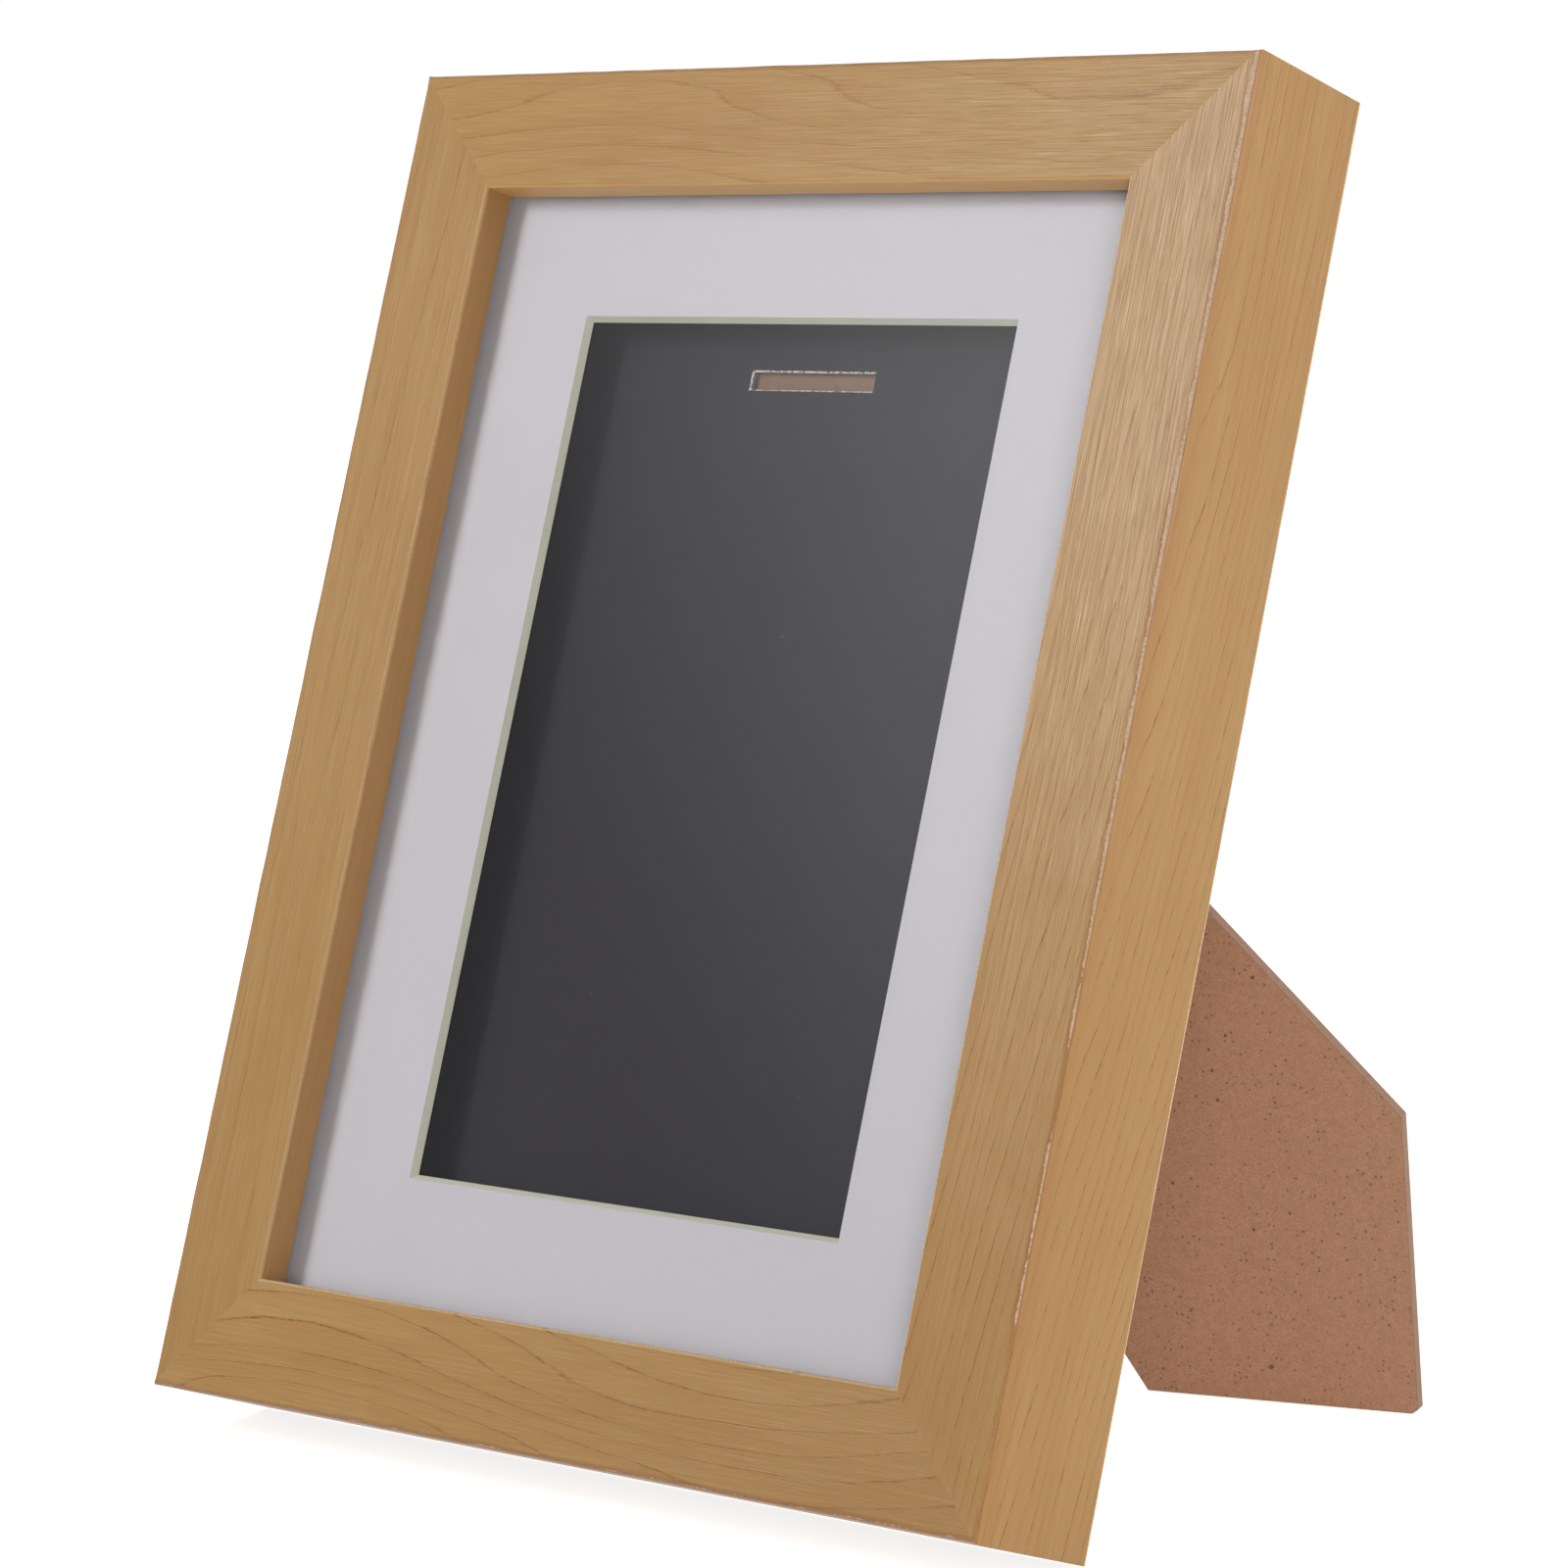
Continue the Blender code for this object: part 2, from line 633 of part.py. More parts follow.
def over_rail(top, low, rail_corner, outwards):
    """How far from the pin the strut's edge from top to low, closed, first passes over a rail."""
    flat = swing_turn(0).to_matrix()
    before = (PIVOT + flat @ Vector(top) - rail_corner).dot(outwards)
    beyond = (PIVOT + flat @ Vector(low) - rail_corner).dot(outwards)
    return -Vector(top).lerp(low, before / (before - beyond)).z


def closing_angle():
    """How far the strut turns before its inner face rests on the back of the rails."""
    top_left, foot_left, *_, side_top, top_right = strut_face(STRUT_INNER)
    rabbet_corner = BOTTOM.at(FRAME_WIDTH - BACK_LAND, BACK_LAND, FRAME_DEPTH)
    reach = min(
        over_rail(top_left, foot_left, rabbet_corner, -BOTTOM.inward),
        over_rail(top_right, side_top, rabbet_corner, -RIGHT.inward),
    )
    rise = FRAME_DEPTH + SEAT_GAP - PIVOT.y
    still_open = math.asin(rise / math.hypot(reach, STRUT_INNER)) - math.atan2(STRUT_INNER, reach)
    return OPENING - still_open


def hanger_outline():
    """A toothed hanger's outline as (along, inward) points from its middle."""
    half = HANGER_LENGTH / 2
    top = -HANGER_HEIGHT / 2
    low = HANGER_HEIGHT / 2
    teeth_half = half - HANGER_END - HANGER_RAMP
    count = int(2 * teeth_half / TOOTH_PITCH)
    start = -count * TOOTH_PITCH / 2
    teeth = []
    for number in range(count):
        left = start + number * TOOTH_PITCH
        teeth.append((left, low))
        teeth.append((left + TOOTH_PITCH / 2, low - TOOTH_DEPTH))
    teeth.append((-start, low))
    return [
        (half, low - HANGER_CORNER),
        (half, top + HANGER_CORNER),
        (half - HANGER_CORNER, top),
        (HANGER_CORNER - half, top),
        (-half, top + HANGER_CORNER),
        (-half, low - HANGER_CORNER),
        (HANGER_CORNER - half, low),
        *teeth,
        (half - HANGER_CORNER, low),
    ]


def hanger(name, side, wood, frame):
    """A toothed hanger on the back of one rail, its middle raised off the wood, and its nails."""
    middle = side.length / 2
    across = BACK_LAND / 2
    seat = FRAME_DEPTH + SEAT_GAP
    outline = hanger_outline()
    plate = loft(
        [(along, inset, 0) for along, inset in outline],
        [(along, inset, HANGER_THICK) for along, inset in outline],
    )
    ramp_out = HANGER_LENGTH / 2 - HANGER_END
    ramp_in = ramp_out - HANGER_RAMP
    for line in (-ramp_out, -ramp_in, ramp_in, ramp_out):
        everything = plate.verts[:] + plate.edges[:] + plate.faces[:]
        bmesh.ops.bisect_plane(plate, geom=everything, plane_co=(line, 0, 0), plane_no=(1, 0, 0))
    for vertex in plate.verts:
        share = (ramp_out - abs(vertex.co.x)) / HANGER_RAMP
        lift = HANGER_RAISE * min(max(share, 0), 1)
        along, inset, depth = vertex.co
        vertex.co = side.at(middle + along, across + inset, seat + depth + lift)
    strip = piece(name, plate, BRASSED, frame)
    reach = HANGER_LENGTH / 2 - HANGER_NAIL_FROM_END
    for number, along in enumerate((-reach, reach)):
        through_start = side.at(middle + along, across, FRAME_DEPTH - HANGER_THICK)
        through_end = side.at(middle + along, across, seat + 2 * HANGER_THICK)
        hole_radius = HANGER_NAIL_RADIUS + DRIVEN_CLEARANCE
        cut(strip, f"{name}_hole_{number}", drill(hole_radius, through_start, through_end))
        deep = FRAME_DEPTH - HANGER_NAIL_LENGTH - DRIVEN_CLEARANCE
        wood_start = side.at(middle + along, across, deep)
        cut(wood, f"{name}_wood_hole_{number}", drill(hole_radius, wood_start, through_end))
        hanger_nail(f"{name}_nail_{number + 1}", side.at(middle + along, across, 0), frame)


def hanger_nail(name, foot, frame):
    """A small round nail through a hanger's end."""
    tip = FRAME_DEPTH - HANGER_NAIL_LENGTH
    head = FRAME_DEPTH + SEAT_GAP + HANGER_THICK + SEAT_GAP
    profile = (
        (0, 0),
        (HANGER_NAIL_RADIUS, HANGER_NAIL_POINT),
        (HANGER_NAIL_RADIUS, head - tip),
        (HANGER_NAIL_HEAD_RADIUS, head - tip),
        (HANGER_NAIL_HEAD_RADIUS, head - tip + HANGER_NAIL_HEAD / 2),
        (HANGER_NAIL_HEAD_RADIUS / 2, head - tip + HANGER_NAIL_HEAD),
        (0, head - tip + HANGER_NAIL_HEAD),
    )
    piece(name, turned(profile, foot + BACK * tip, BACK, 12), BRASSED, frame, rounded=True)


def stand_on_table(frame):
    """Sets the frame down with the middle of its box over the origin and its lowest point at 0."""
    bpy.context.view_layer.update()
    points = [
        made.matrix_world @ vertex.co
        for made in bpy.data.objects
        if made.type == "MESH" and not made.hide_render
        for vertex in made.data.vertices
    ]
    xs = [point.x for point in points]
    ys = [point.y for point in points]
    frame.location.x -= (min(xs) + max(xs)) / 2
    frame.location.y -= (min(ys) + max(ys)) / 2


def main():
    for old in list(bpy.data.objects):
        bpy.data.objects.remove(old, do_unlink=True)
    tilt_place = leaned((0, 0, 0))
    tilt_place.z -= table_level()
    frame = holder("leaning_frame", (-LEAN, 0, 0), tilt_place)
    rails = {name: rail(name, side, frame) for name, side in SIDES.items()}
    for name, corner in CORNERS.items():
        corner_nail(name, corner, rails, frame)
    for rail_name, side in SIDES.items():
        for number, along in enumerate((TAB_FROM_CORNER, side.length - TAB_FROM_CORNER)):
            retaining_tab(f"{rail_name}_tab_{number + 1}", side, along, rails[rail_name], frame)
    sheet("glazing", GLASS_THICK, GLASS_FRONT, GLASS, frame)
    holed_sheet("window_mat", MAT_THICK, MAT_FRONT, window(), WINDOW_BEVEL, MAT_BOARD, frame)
    spacers(frame)
    holed_sheet("slotted_card", CARD_THICK, CARD_FRONT, slot(), 0, DARK_CARD, frame)
    backing = sheet("backing_board", BACKING_THICK, BACKING_FRONT, HARDBOARD, frame)
    hinge = holder("hinge_axis", swing_turn(0), PIVOT, frame)
    swing = holder("strut_swing", swing_turn(OPENING), PIVOT, frame)
    fixed_hinge(hinge, backing)
    moving_hinge(swing)
    strut(swing)
    hanger("hanger_upright", TOP, rails["rail_top"], frame)
    hanger("hanger_sideways", LEFT, rails["stile_left"], frame)
    stand_on_table(frame)
    print(f"the strut closes by {math.degrees(closing_angle()):.3f} degrees")


main()
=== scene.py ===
import math

import bmesh
import bpy
from mathutils import Euler, Matrix, Vector


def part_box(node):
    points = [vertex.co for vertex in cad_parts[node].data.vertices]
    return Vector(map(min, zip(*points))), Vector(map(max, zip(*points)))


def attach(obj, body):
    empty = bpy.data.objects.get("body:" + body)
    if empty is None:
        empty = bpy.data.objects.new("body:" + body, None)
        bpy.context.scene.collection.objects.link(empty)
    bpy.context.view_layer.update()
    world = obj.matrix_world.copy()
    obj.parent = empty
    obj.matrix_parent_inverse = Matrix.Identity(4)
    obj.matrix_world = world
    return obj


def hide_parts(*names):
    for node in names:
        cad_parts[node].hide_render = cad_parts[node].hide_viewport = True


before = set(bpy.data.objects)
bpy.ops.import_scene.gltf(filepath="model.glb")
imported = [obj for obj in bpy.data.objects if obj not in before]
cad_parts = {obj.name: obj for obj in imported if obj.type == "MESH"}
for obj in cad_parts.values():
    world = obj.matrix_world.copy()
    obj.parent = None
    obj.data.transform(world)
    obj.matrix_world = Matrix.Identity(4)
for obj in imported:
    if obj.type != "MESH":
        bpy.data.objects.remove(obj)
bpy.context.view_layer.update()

MM = 0.001
SAME_PLACE = 0.001 * MM  # points closer than this are one

# Sizes of the frame, as it was built
SHEET_INSET = 16 * MM
GLASS_FRONT = 6.2 * MM
GLASS_THICK = 1.6 * MM
MAT_FRONT = 8 * MM
MAT_THICK = 1.2 * MM
CARD_FRONT = 15.1 * MM
CARD_THICK = 1 * MM
FACE_WIDTH = 21 * MM
BACK_LAND = 15.5 * MM
LIP_DEPTH = 6 * MM
FRAME_WIDTH = 184 * MM
FRAME_HEIGHT = 235 * MM
FRAME_DEPTH = 28 * MM
WINDOW_WIDTH = 96 * MM
WINDOW_HEIGHT = 151 * MM
WINDOW_BEVEL = 0.95 * MM
SLOT_WIDTH = 27 * MM
SLOT_HEIGHT = 3 * MM
SLOT_DROP = 9 * MM
LEAN = math.radians(17.4)

# Edges
OUTER_ARRIS = 1.15 * MM
SIGHT_ARRIS = 0.6 * MM
BACK_ARRIS = 0.4 * MM
MITRE_GAP = 0.002 * MM
LENGTH_STEP = 2 * MM  # between the cuts across a side, which let its arris be dented
RUB = 0.2 * MM  # how deep the outer arris is rubbed
RIGHT_RUB = 0.4 * MM
LIP_WIDTH = 0.14 * MM  # of the bright lip behind the mat's slanted cut
TEAR_WIDTH = 0.28 * MM  # of the torn rim of the card's slot
SLOT_ROOM = 0.15 * MM  # around the steel that is driven into the wood

# Colours on the screen, from 0 to 255
TAN = (186, 148, 89)
DEEP_TAN = (178, 138, 80)
WARM_TAN = (190, 134, 76)
WALL_TAN = (190, 146, 92)
# Painted light on the top lip's downward wall, and painted shade on the left lip's wall
PAINTED_LIT_WALL = (238, 184, 112)
SHADY_WALL = (176, 124, 74)
FIBRE_BROWN = (162, 120, 72)
HAIR_BROWN = (150, 108, 62)
LATE_GROWTH = (176, 120, 66)
GROWTH_LINE = (130, 76, 32)
PORE_BROWN = (146, 104, 62)
# Painted highlights: glints on the embossing and a pale sheen, strongest high on the right side
PAINTED_GLINT = (228, 200, 152)
PAINTED_SHEEN = (212, 180, 148)
# Painted shade, darker towards the lower right
PAINTED_SHADE_FOIL = (150, 108, 58)
FOLD_BAND = (170, 112, 56)
# Painted shade on the side half of the outer arris
FOLD_SHADE = (148, 94, 46)
RUB_RIM = (146, 92, 46)
# Bare rubbed foil, which on the bottom's arris is also a painted highlight
RUBBED_BARE_AND_HIGHLIGHT = (214, 186, 161)
# Painted highlights on the sight edge and the back arris
SIGHT_GLEAM = (248, 228, 192)
REAR_BARE_AND_GLEAM = (246, 214, 172)
SOFTWOOD = (228, 200, 158)
SOFTWOOD_RING = (214, 178, 130)
SOFTWOOD_FIBRE = (176, 138, 92)
SOFTWOOD_GRIME = (168, 140, 108)
BOARD_BROWN = (216, 166, 132)
BOARD_MOTTLE = (208, 158, 124)
BOARD_GRAIN = (146, 98, 70)
BOARD_FLAX = (206, 164, 132)
BOARD_SPECK = (98, 60, 42)
BOARD_CUT = (152, 122, 104)
DUST = (170, 168, 168)
CARD_FACE = (84, 80, 82)
TORN_CORE = (214, 204, 200)

# Camera
CAMERA_PLACE = (0.6255, -0.7147, 0.2042)
CAMERA_TURN = (84.4225, 0.3497, 41.7909)
CAMERA_LENS = 129.485

# Light
ROOM_LIGHT = 0.37  # on matt surfaces
DIM_ROOM = 0.2  # in front, in gloss
GLOW_LIGHT = 1.05  # of the soft glow in gloss
GLOW_AIM = (-0.274, -0.741, 0.614)
GLOW_RIM = 0.858  # cosines of the angles from the aim where the glow starts and is full
GLOW_CORE = 0.938
FLOOR_GLOW = 0.82

BACK = Vector((0, 1, 0))
FRAME_MIDDLE = Vector((0, 0, 0.12))


def leaned_axes():
    """The frame's own axes in the scene: x across, y back, z up its face, from the left front foot."""
    low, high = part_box("glazing")
    tilt = Matrix.Rotation(-LEAN, 4, "X")
    front_foot = tilt @ Vector((SHEET_INSET, GLASS_FRONT, SHEET_INSET))
    back_foot = tilt @ Vector((SHEET_INSET, GLASS_FRONT + GLASS_THICK, SHEET_INSET))
    place = Vector((low.x - front_foot.x, low.y - front_foot.y, low.z - back_foot.z))
    return Matrix.Translation(place) @ tilt


LEANED = leaned_axes()


def side_axes(corner, turn):
    """One side's axes: x along it, y back, z inwards, from an outer corner of the frame."""
    return LEANED @ Matrix.Translation(corner) @ Matrix.Rotation(math.radians(turn), 4, "Y")


# Each side's axes and length
SIDES = {
    "bottom": (side_axes((0, 0, 0), 0), FRAME_WIDTH),
    "right": (side_axes((FRAME_WIDTH, 0, 0), -90), FRAME_HEIGHT),
    "top": (side_axes((FRAME_WIDTH, 0, FRAME_HEIGHT), 180), FRAME_WIDTH),
    "left": (side_axes((0, 0, FRAME_HEIGHT), 90), FRAME_HEIGHT),
}


# Nodes of the finishes


def linear(colour):
    """A 0 to 255 screen colour as linear light, with alpha."""
    shares = [channel / 255 for channel in colour]
    light = [s / 12.92 if s <= 0.04045 else ((s + 0.055) / 1.055) ** 2.4 for s in shares]
    return (*light, 1)


def feed(tree, sockets, values):
    """Links a socket, or sets its own value, for each name or number in values."""
    for key, value in values.items():
        if isinstance(value, bpy.types.NodeSocket):
            tree.links.new(value, sockets[key])
        else:
            sockets[key].default_value = value


def put(tree, kind, values, **settings):
    """A node with these settings and input values."""
    made = tree.nodes.new(kind)
    for name, setting in settings.items():
        setattr(made, name, setting)
    feed(tree, made.inputs, values)
    return made


def group_node(tree, group, values):
    """A copy of the group in a material's tree."""
    return put(tree, "ShaderNodeGroup", values, node_tree=group).outputs


def reckon(tree, operation, *values, clamp=False):
    """A sum on one or two values."""
    numbered = dict(enumerate(values))
    return put(tree, "ShaderNodeMath", numbered, operation=operation, use_clamp=clamp).outputs[0]


def plus(tree, first, *others):
    """All the values added up."""
    for value in others:
        first = reckon(tree, "ADD", first, value)
    return first


def minus(tree, first, second):
    """first less second."""
    return reckon(tree, "SUBTRACT", first, second)


def times(tree, first, *others):
    """All the values multiplied."""
    for value in others:
        first = reckon(tree, "MULTIPLY", first, value)
    return first


def blend_colours(tree, share, first, second, way="MIX"):
    """first, changed to second by the share."""
    values = {0: share, 6: first, 7: second}
    return put(tree, "ShaderNodeMix", values, data_type="RGBA", blend_type=way).outputs[2]


def painted(tree, under, colour, share):
    """What is under, changed to a screen colour by the share."""
    return blend_colours(tree, share, under, linear(colour))


def toned(tree, colour, tone):
    """A screen colour made lighter and darker by the tone."""
    values = {0: linear(colour)[:3], "Scale": tone}
    return put(tree, "ShaderNodeVectorMath", values, operation="SCALE").outputs[0]


def stretch(tree, place, scale):
    """The place, scaled along its three axes."""
    return put(tree, "ShaderNodeVectorMath", {0: place, 1: scale}, operation="MULTIPLY").outputs[0]


def clouds(tree, place, scale=1.0, detail=2.0, rough=0.5):
    """Cloudy noise from 0 to 1."""
    values = {"Vector": place, "Scale": scale, "Detail": detail, "Roughness": rough}
    return put(tree, "ShaderNodeTexNoise", values).outputs[0]


def streaks(tree, place, scale, detail=2.0, rough=0.5):
    """Cloudy noise from 0 to 1, with a scale of its own along each axis."""
    return clouds(tree, stretch(tree, place, scale), 1, detail, rough)


def both_ways(tree, noise, reach):
    """Noise from 0 to 1 as a shift to both sides of nothing, over this reach in all."""
    return times(tree, minus(tree, noise, 0.5), reach)


def step_up(tree, value, low, high, bottom=0.0, top=1.0):
    """Rises smoothly from bottom to top as the value goes from low to high."""
    values = {0: value, 1: low, 2: high, 3: bottom, 4: top}
    return put(tree, "ShaderNodeMapRange", values, interpolation_type="SMOOTHSTEP").outputs[0]


def new_group(name, inputs, outputs):
    """An empty node group with these sockets, its input node and its output node."""
    tree = bpy.data.node_groups.new(name, "ShaderNodeTree")
    for socket, kind in inputs.items():
        tree.interface.new_socket(socket, in_out="INPUT", socket_type=kind)
    for socket, kind in outputs.items():
        tree.interface.new_socket(socket, in_out="OUTPUT", socket_type=kind)
    entry = tree.nodes.new("NodeGroupInput")
    leave = tree.nodes.new("NodeGroupOutput")
    return tree, entry.outputs, leave.inputs


NUMBER = "NodeSocketFloat"
VECTOR = "NodeSocketVector"
COLOUR = "NodeSocketColor"


def growth_line_field(tree, given, sheet, along, around, fibre):
    """Rises by one from each growth line to the next, with a slant, a long bow and some drift."""
    along = plus(tree, along, both_ways(tree, fibre, 3))
    from_heart = minus(tree, around, given["Heart"])
    rise = times(tree, along, given["Rise"])
    turn = reckon(tree, "DIVIDE", minus(tree, along, given["Bow Start"]), given["Bow Length"])
    swing = reckon(tree, "COSINE", times(tree, turn, math.tau))
    more_outside = step_up(tree, around, -16, 0, 1.7, 1)
    bow = times(tree, swing, given["Bow"], more_outside)
    drift = both_ways(tree, streaks(tree, sheet, (0.012, 0.05, 7), 1), 6)
    wobble = both_ways(tree, streaks(tree, sheet, (0.09, 0.4, 3)), 0.9)
    field = plus(tree, from_heart, rise, bow, drift, wobble)
    years = reckon(tree, "DIVIDE", field, given["Line Spacing"])
    unequal = streaks(tree, sheet, (0.004, 0.11, 5), 0)
    return plus(tree, years, times(tree, unequal, 2))


def foil_grain_group():
    """Beech foil with growth lines, fibres and pores, and painted glints and sheen. Place is in millimetres:
    along, depth, inset.
    """
    tree, given, result = new_group(
        "foil grain",
        {
            "Place": VECTOR,
            "Seed": NUMBER,
            "Heart": NUMBER,
            "Rise": NUMBER,
            "Bow": NUMBER,
            "Bow Length": NUMBER,
            "Bow Start": NUMBER,
            "Line Spacing": NUMBER,
            "Line Strength": NUMBER,
            "Pore Strength": NUMBER,
            "Warmth": NUMBER,
        },
        {"Colour": COLOUR, "Roughness": NUMBER, "Height": NUMBER},
    )
    along, depth, inset = put(tree, "ShaderNodeSeparateXYZ", {0: given["Place"]}).outputs
    around = minus(tree, inset, depth)
    sheet = put(tree, "ShaderNodeCombineXYZ", {0: along, 1: around, 2: given["Seed"]}).outputs[0]
    fibre = streaks(tree, sheet, (0.1, 3.2, 13), 4, 0.6)

    # Growth lines
    share = reckon(tree, "FRACT", growth_line_field(tree, given, sheet, along, around, fibre))
    edge = step_up(tree, share, 0.89, 0.945)
    fall = step_up(tree, share, 0.955, 0.985, 1, 0)
    breaks = step_up(tree, streaks(tree, sheet, (0.045, 0.5, 11)), 0.38, 0.62, 0.4, 1)
    dashes = step_up(tree, streaks(tree, sheet, (0.7, 2.2, 37)), 0.36, 0.56, 0.35, 1)
    line = times(tree, edge, fall, breaks, dashes, given["Line Strength"])
    shade = times(tree, step_up(tree, share, 0.3, 0.95), breaks, 0.3)

    # Fibres and pores, and painted glints on the embossing
    hair = streaks(tree, sheet, (0.1, 6, 29))
    # Strength of the pores, which also sets the painted glints and the painted sheen
    pores_and_sheen = times(tree, step_up(tree, around, -1.5, 0.5, 0.2, 1), given["Pore Strength"])
    pore = times(tree, step_up(tree, streaks(tree, sheet, (0.055, 4.4, 17)), 0.55, 0.64), pores_and_sheen)
    painted_glint = times(tree, step_up(tree, streaks(tree, sheet, (0.06, 4.8, 23)), 0.53, 0.63), pores_and_sheen)

    # Colour
    patch = step_up(tree, streaks(tree, sheet, (0.014, 0.09, 19)), 0.3, 0.7)
    colour = painted(tree, linear(TAN), DEEP_TAN, patch)
    colour = painted(tree, colour, WARM_TAN, given["Warmth"])
    colour = painted(tree, colour, FIBRE_BROWN, step_up(tree, fibre, 0.35, 0.7, 0, 0.2))
    colour = painted(tree, colour, HAIR_BROWN, step_up(tree, hair, 0.52, 0.72, 0, 0.34))
    colour = painted(tree, colour, LATE_GROWTH, shade)
    colour = painted(tree, colour, GROWTH_LINE, line)
    colour = painted(tree, colour, PORE_BROWN, times(tree, pore, 0.5))
    # Painted glints, pale strokes where the light catches the embossing
    colour = painted(tree, colour, PAINTED_GLINT, times(tree, painted_glint, 0.6))
    # Painted sheen, a pale wash where the pores are strongest
    colour = painted(tree, colour, PAINTED_SHEEN, times(tree, pores_and_sheen, pores_and_sheen, 0.4))

    # Sheen and relief
    dull = step_up(tree, fibre, 0.3, 0.7, 0.32, 0.42)
    raised = plus(tree, minus(tree, times(tree, fibre, 0.6), pore), times(tree, painted_glint, 0.6))
    height = minus(tree, raised, times(tree, line, 0.5))
    feed(tree, result, {"Colour": colour, "Roughness": dull, "Height": height})
    return tree


def arris_wear_and_shading_group():
    """A ragged band along an arris and the darkened rim beside it: where the arris is rubbed bare, and where
    painted highlights and painted shade run along it.

    To Face and To Side are a place's ways from the two faces that meet there.
    """
    tree, given, result = new_group(
        "arris wear",
        {"Place": VECTOR, "To Face": NUMBER, "To Side": NUMBER, "Width": NUMBER, "Ragged": NUMBER},
        {"Worn": NUMBER, "Rim": NUMBER},
    )
    nicks = streaks(tree, given["Place"], (1.5, 0.6, 0.6), 4, 0.7)
    reach = streaks(tree, given["Place"], (0.13, 0.1, 0.1), 1)
    ragged = times(tree, minus(tree, plus(tree, nicks, reach), 1.0), given["Ragged"])
    far = reckon(tree, "MAXIMUM", given["To Face"], given["To Side"])
    edge = minus(tree, given["Width"], plus(tree, far, ragged))
    crumbs = step_up(tree, clouds(tree, given["Place"], 2.6, 3), 0.4, 0.58, 0.5, 1)
    worn_and_lit = times(tree, step_up(tree, edge, -0.06, 0.08), crumbs)
    rim = times(tree, step_up(tree, edge, -0.9, -0.1), minus(tree, 1.0, worn_and_lit))
    feed(tree, result, {"Worn": worn_and_lit, "Rim": rim})
    return tree


def specks(tree, place, scale, least, largest):
    """Ragged specks in some of the cells of this scale. least is the share of cells without one."""
    cells = put(tree, "ShaderNodeTexVoronoi", {"Vector": place, "Scale": scale}).outputs
    chance = put(tree, "ShaderNodeSeparateColor", {0: cells["Color"]}).outputs[0]
    size = reckon(tree, "MAXIMUM", step_up(tree, chance, least, 1, 0, largest), 0.001)
    reach = plus(tree, 1.0, both_ways(tree, clouds(tree, place, scale * 7, 3, 0.6), 1.6))
    inside = minus(tree, reach, reckon(tree, "DIVIDE", cells["Distance"], size))
    return step_up(tree, inside, 0, 0.4)


def board_fibre_group():
    """Pressed wood fibre with mottling, pale fibres and dark specks. Place is in millimetres."""
    tree, given, result = new_group(
        "board fibre",
        {"Place": VECTOR, "Speck Strength": NUMBER},
        {"Colour": COLOUR, "Roughness": NUMBER, "Height": NUMBER},
    )
    place = given["Place"]
    mottle = clouds(tree, place, 0.55, 5, 0.7)
    grain = clouds(tree, place, 3.6, 4, 0.75)
    turned = put(tree, "ShaderNodeVectorRotate", {"Vector": place, "Angle": 0.7}).outputs[0]
    pale = streaks(tree, turned, (0.7, 3.2, 3.2), 3, 0.6)
    dots = times(tree, specks(tree, place, 1.0, 0.3, 0.32), 0.75)
    flecks = specks(tree, place, 0.3, 0.45, 0.14)
    shreds = specks(tree, stretch(tree, turned, (0.45, 1.3, 1.3)), 0.16, 0.72, 0.1)
    dark = reckon(tree, "MAXIMUM", dots, reckon(tree, "MAXIMUM", flecks, shreds))
    speck = times(tree, dark, given["Speck Strength"])

    colour = painted(tree, linear(BOARD_BROWN), BOARD_MOTTLE, step_up(tree, mottle, 0.35, 0.65))
    colour = painted(tree, colour, BOARD_GRAIN, step_up(tree, grain, 0.44, 0.66, 0, 0.5))
    colour = painted(tree, colour, BOARD_FLAX, step_up(tree, pale, 0.56, 0.72, 0, 0.4))
    colour = painted(tree, colour, BOARD_SPECK, times(tree, speck, 0.75))
    dull = step_up(tree, grain, 0.3, 0.7, 0.62, 0.8)
    height = plus(tree, minus(tree, times(tree, grain, 0.7), speck), times(tree, pale, 0.4))
    feed(tree, result, {"Colour": colour, "Roughness": dull, "Height": height})
    return tree


def paper_tooth_group():
    """Slight mottling and tooth of paper, around 1, and dust on it. Place is in millimetres."""
    tree, given, result = new_group(
        "paper tooth",
        {"Place": VECTOR, "Strength": NUMBER},
        {"Tone": NUMBER, "Height": NUMBER, "Dust": NUMBER},
    )
    mottle = minus(tree, clouds(tree, given["Place"], 0.06, 3, 0.5), 0.5)
    tooth = minus(tree, clouds(tree, given["Place"], 5, 3, 0.6), 0.5)
    tone = plus(tree, 1.0, times(tree, plus(tree, mottle, tooth), given["Strength"]))
    dust = specks(tree, given["Place"], 0.3, 0.86, 0.06)
    feed(tree, result, {"Tone": tone, "Height": tooth, "Dust": dust})
    return tree


def rolled_steel_group():
    """Rolling marks, blotches and scratches on plated sheet steel. Place is in millimetres."""
    tree, given, result = new_group(
        "rolled steel", {"Place": VECTOR}, {"Tone": NUMBER, "Roughness": NUMBER, "Height": NUMBER}
    )
    blotch = clouds(tree, given["Place"], 0.5, 3, 0.6)
    marks = streaks(tree, given["Place"], (0.5, 6, 6), 3, 0.6)
    blotched = step_up(tree, blotch, 0.3, 0.7, 0.82, 1)
    tone = plus(tree, blotched, step_up(tree, marks, 0.3, 0.7, -0.06, 0.06))
    dull = step_up(tree, plus(tree, blotch, marks), 0.6, 1.4, 0.26, 0.46)
    feed(tree, result, {"Tone": tone, "Roughness": dull, "Height": marks})
    return tree


FOIL_GRAIN = foil_grain_group()
ARRIS_WEAR_AND_SHADING = arris_wear_and_shading_group()
BOARD_FIBRE = board_fibre_group()
PAPER_TOOTH = paper_tooth_group()
ROLLED_STEEL = rolled_steel_group()


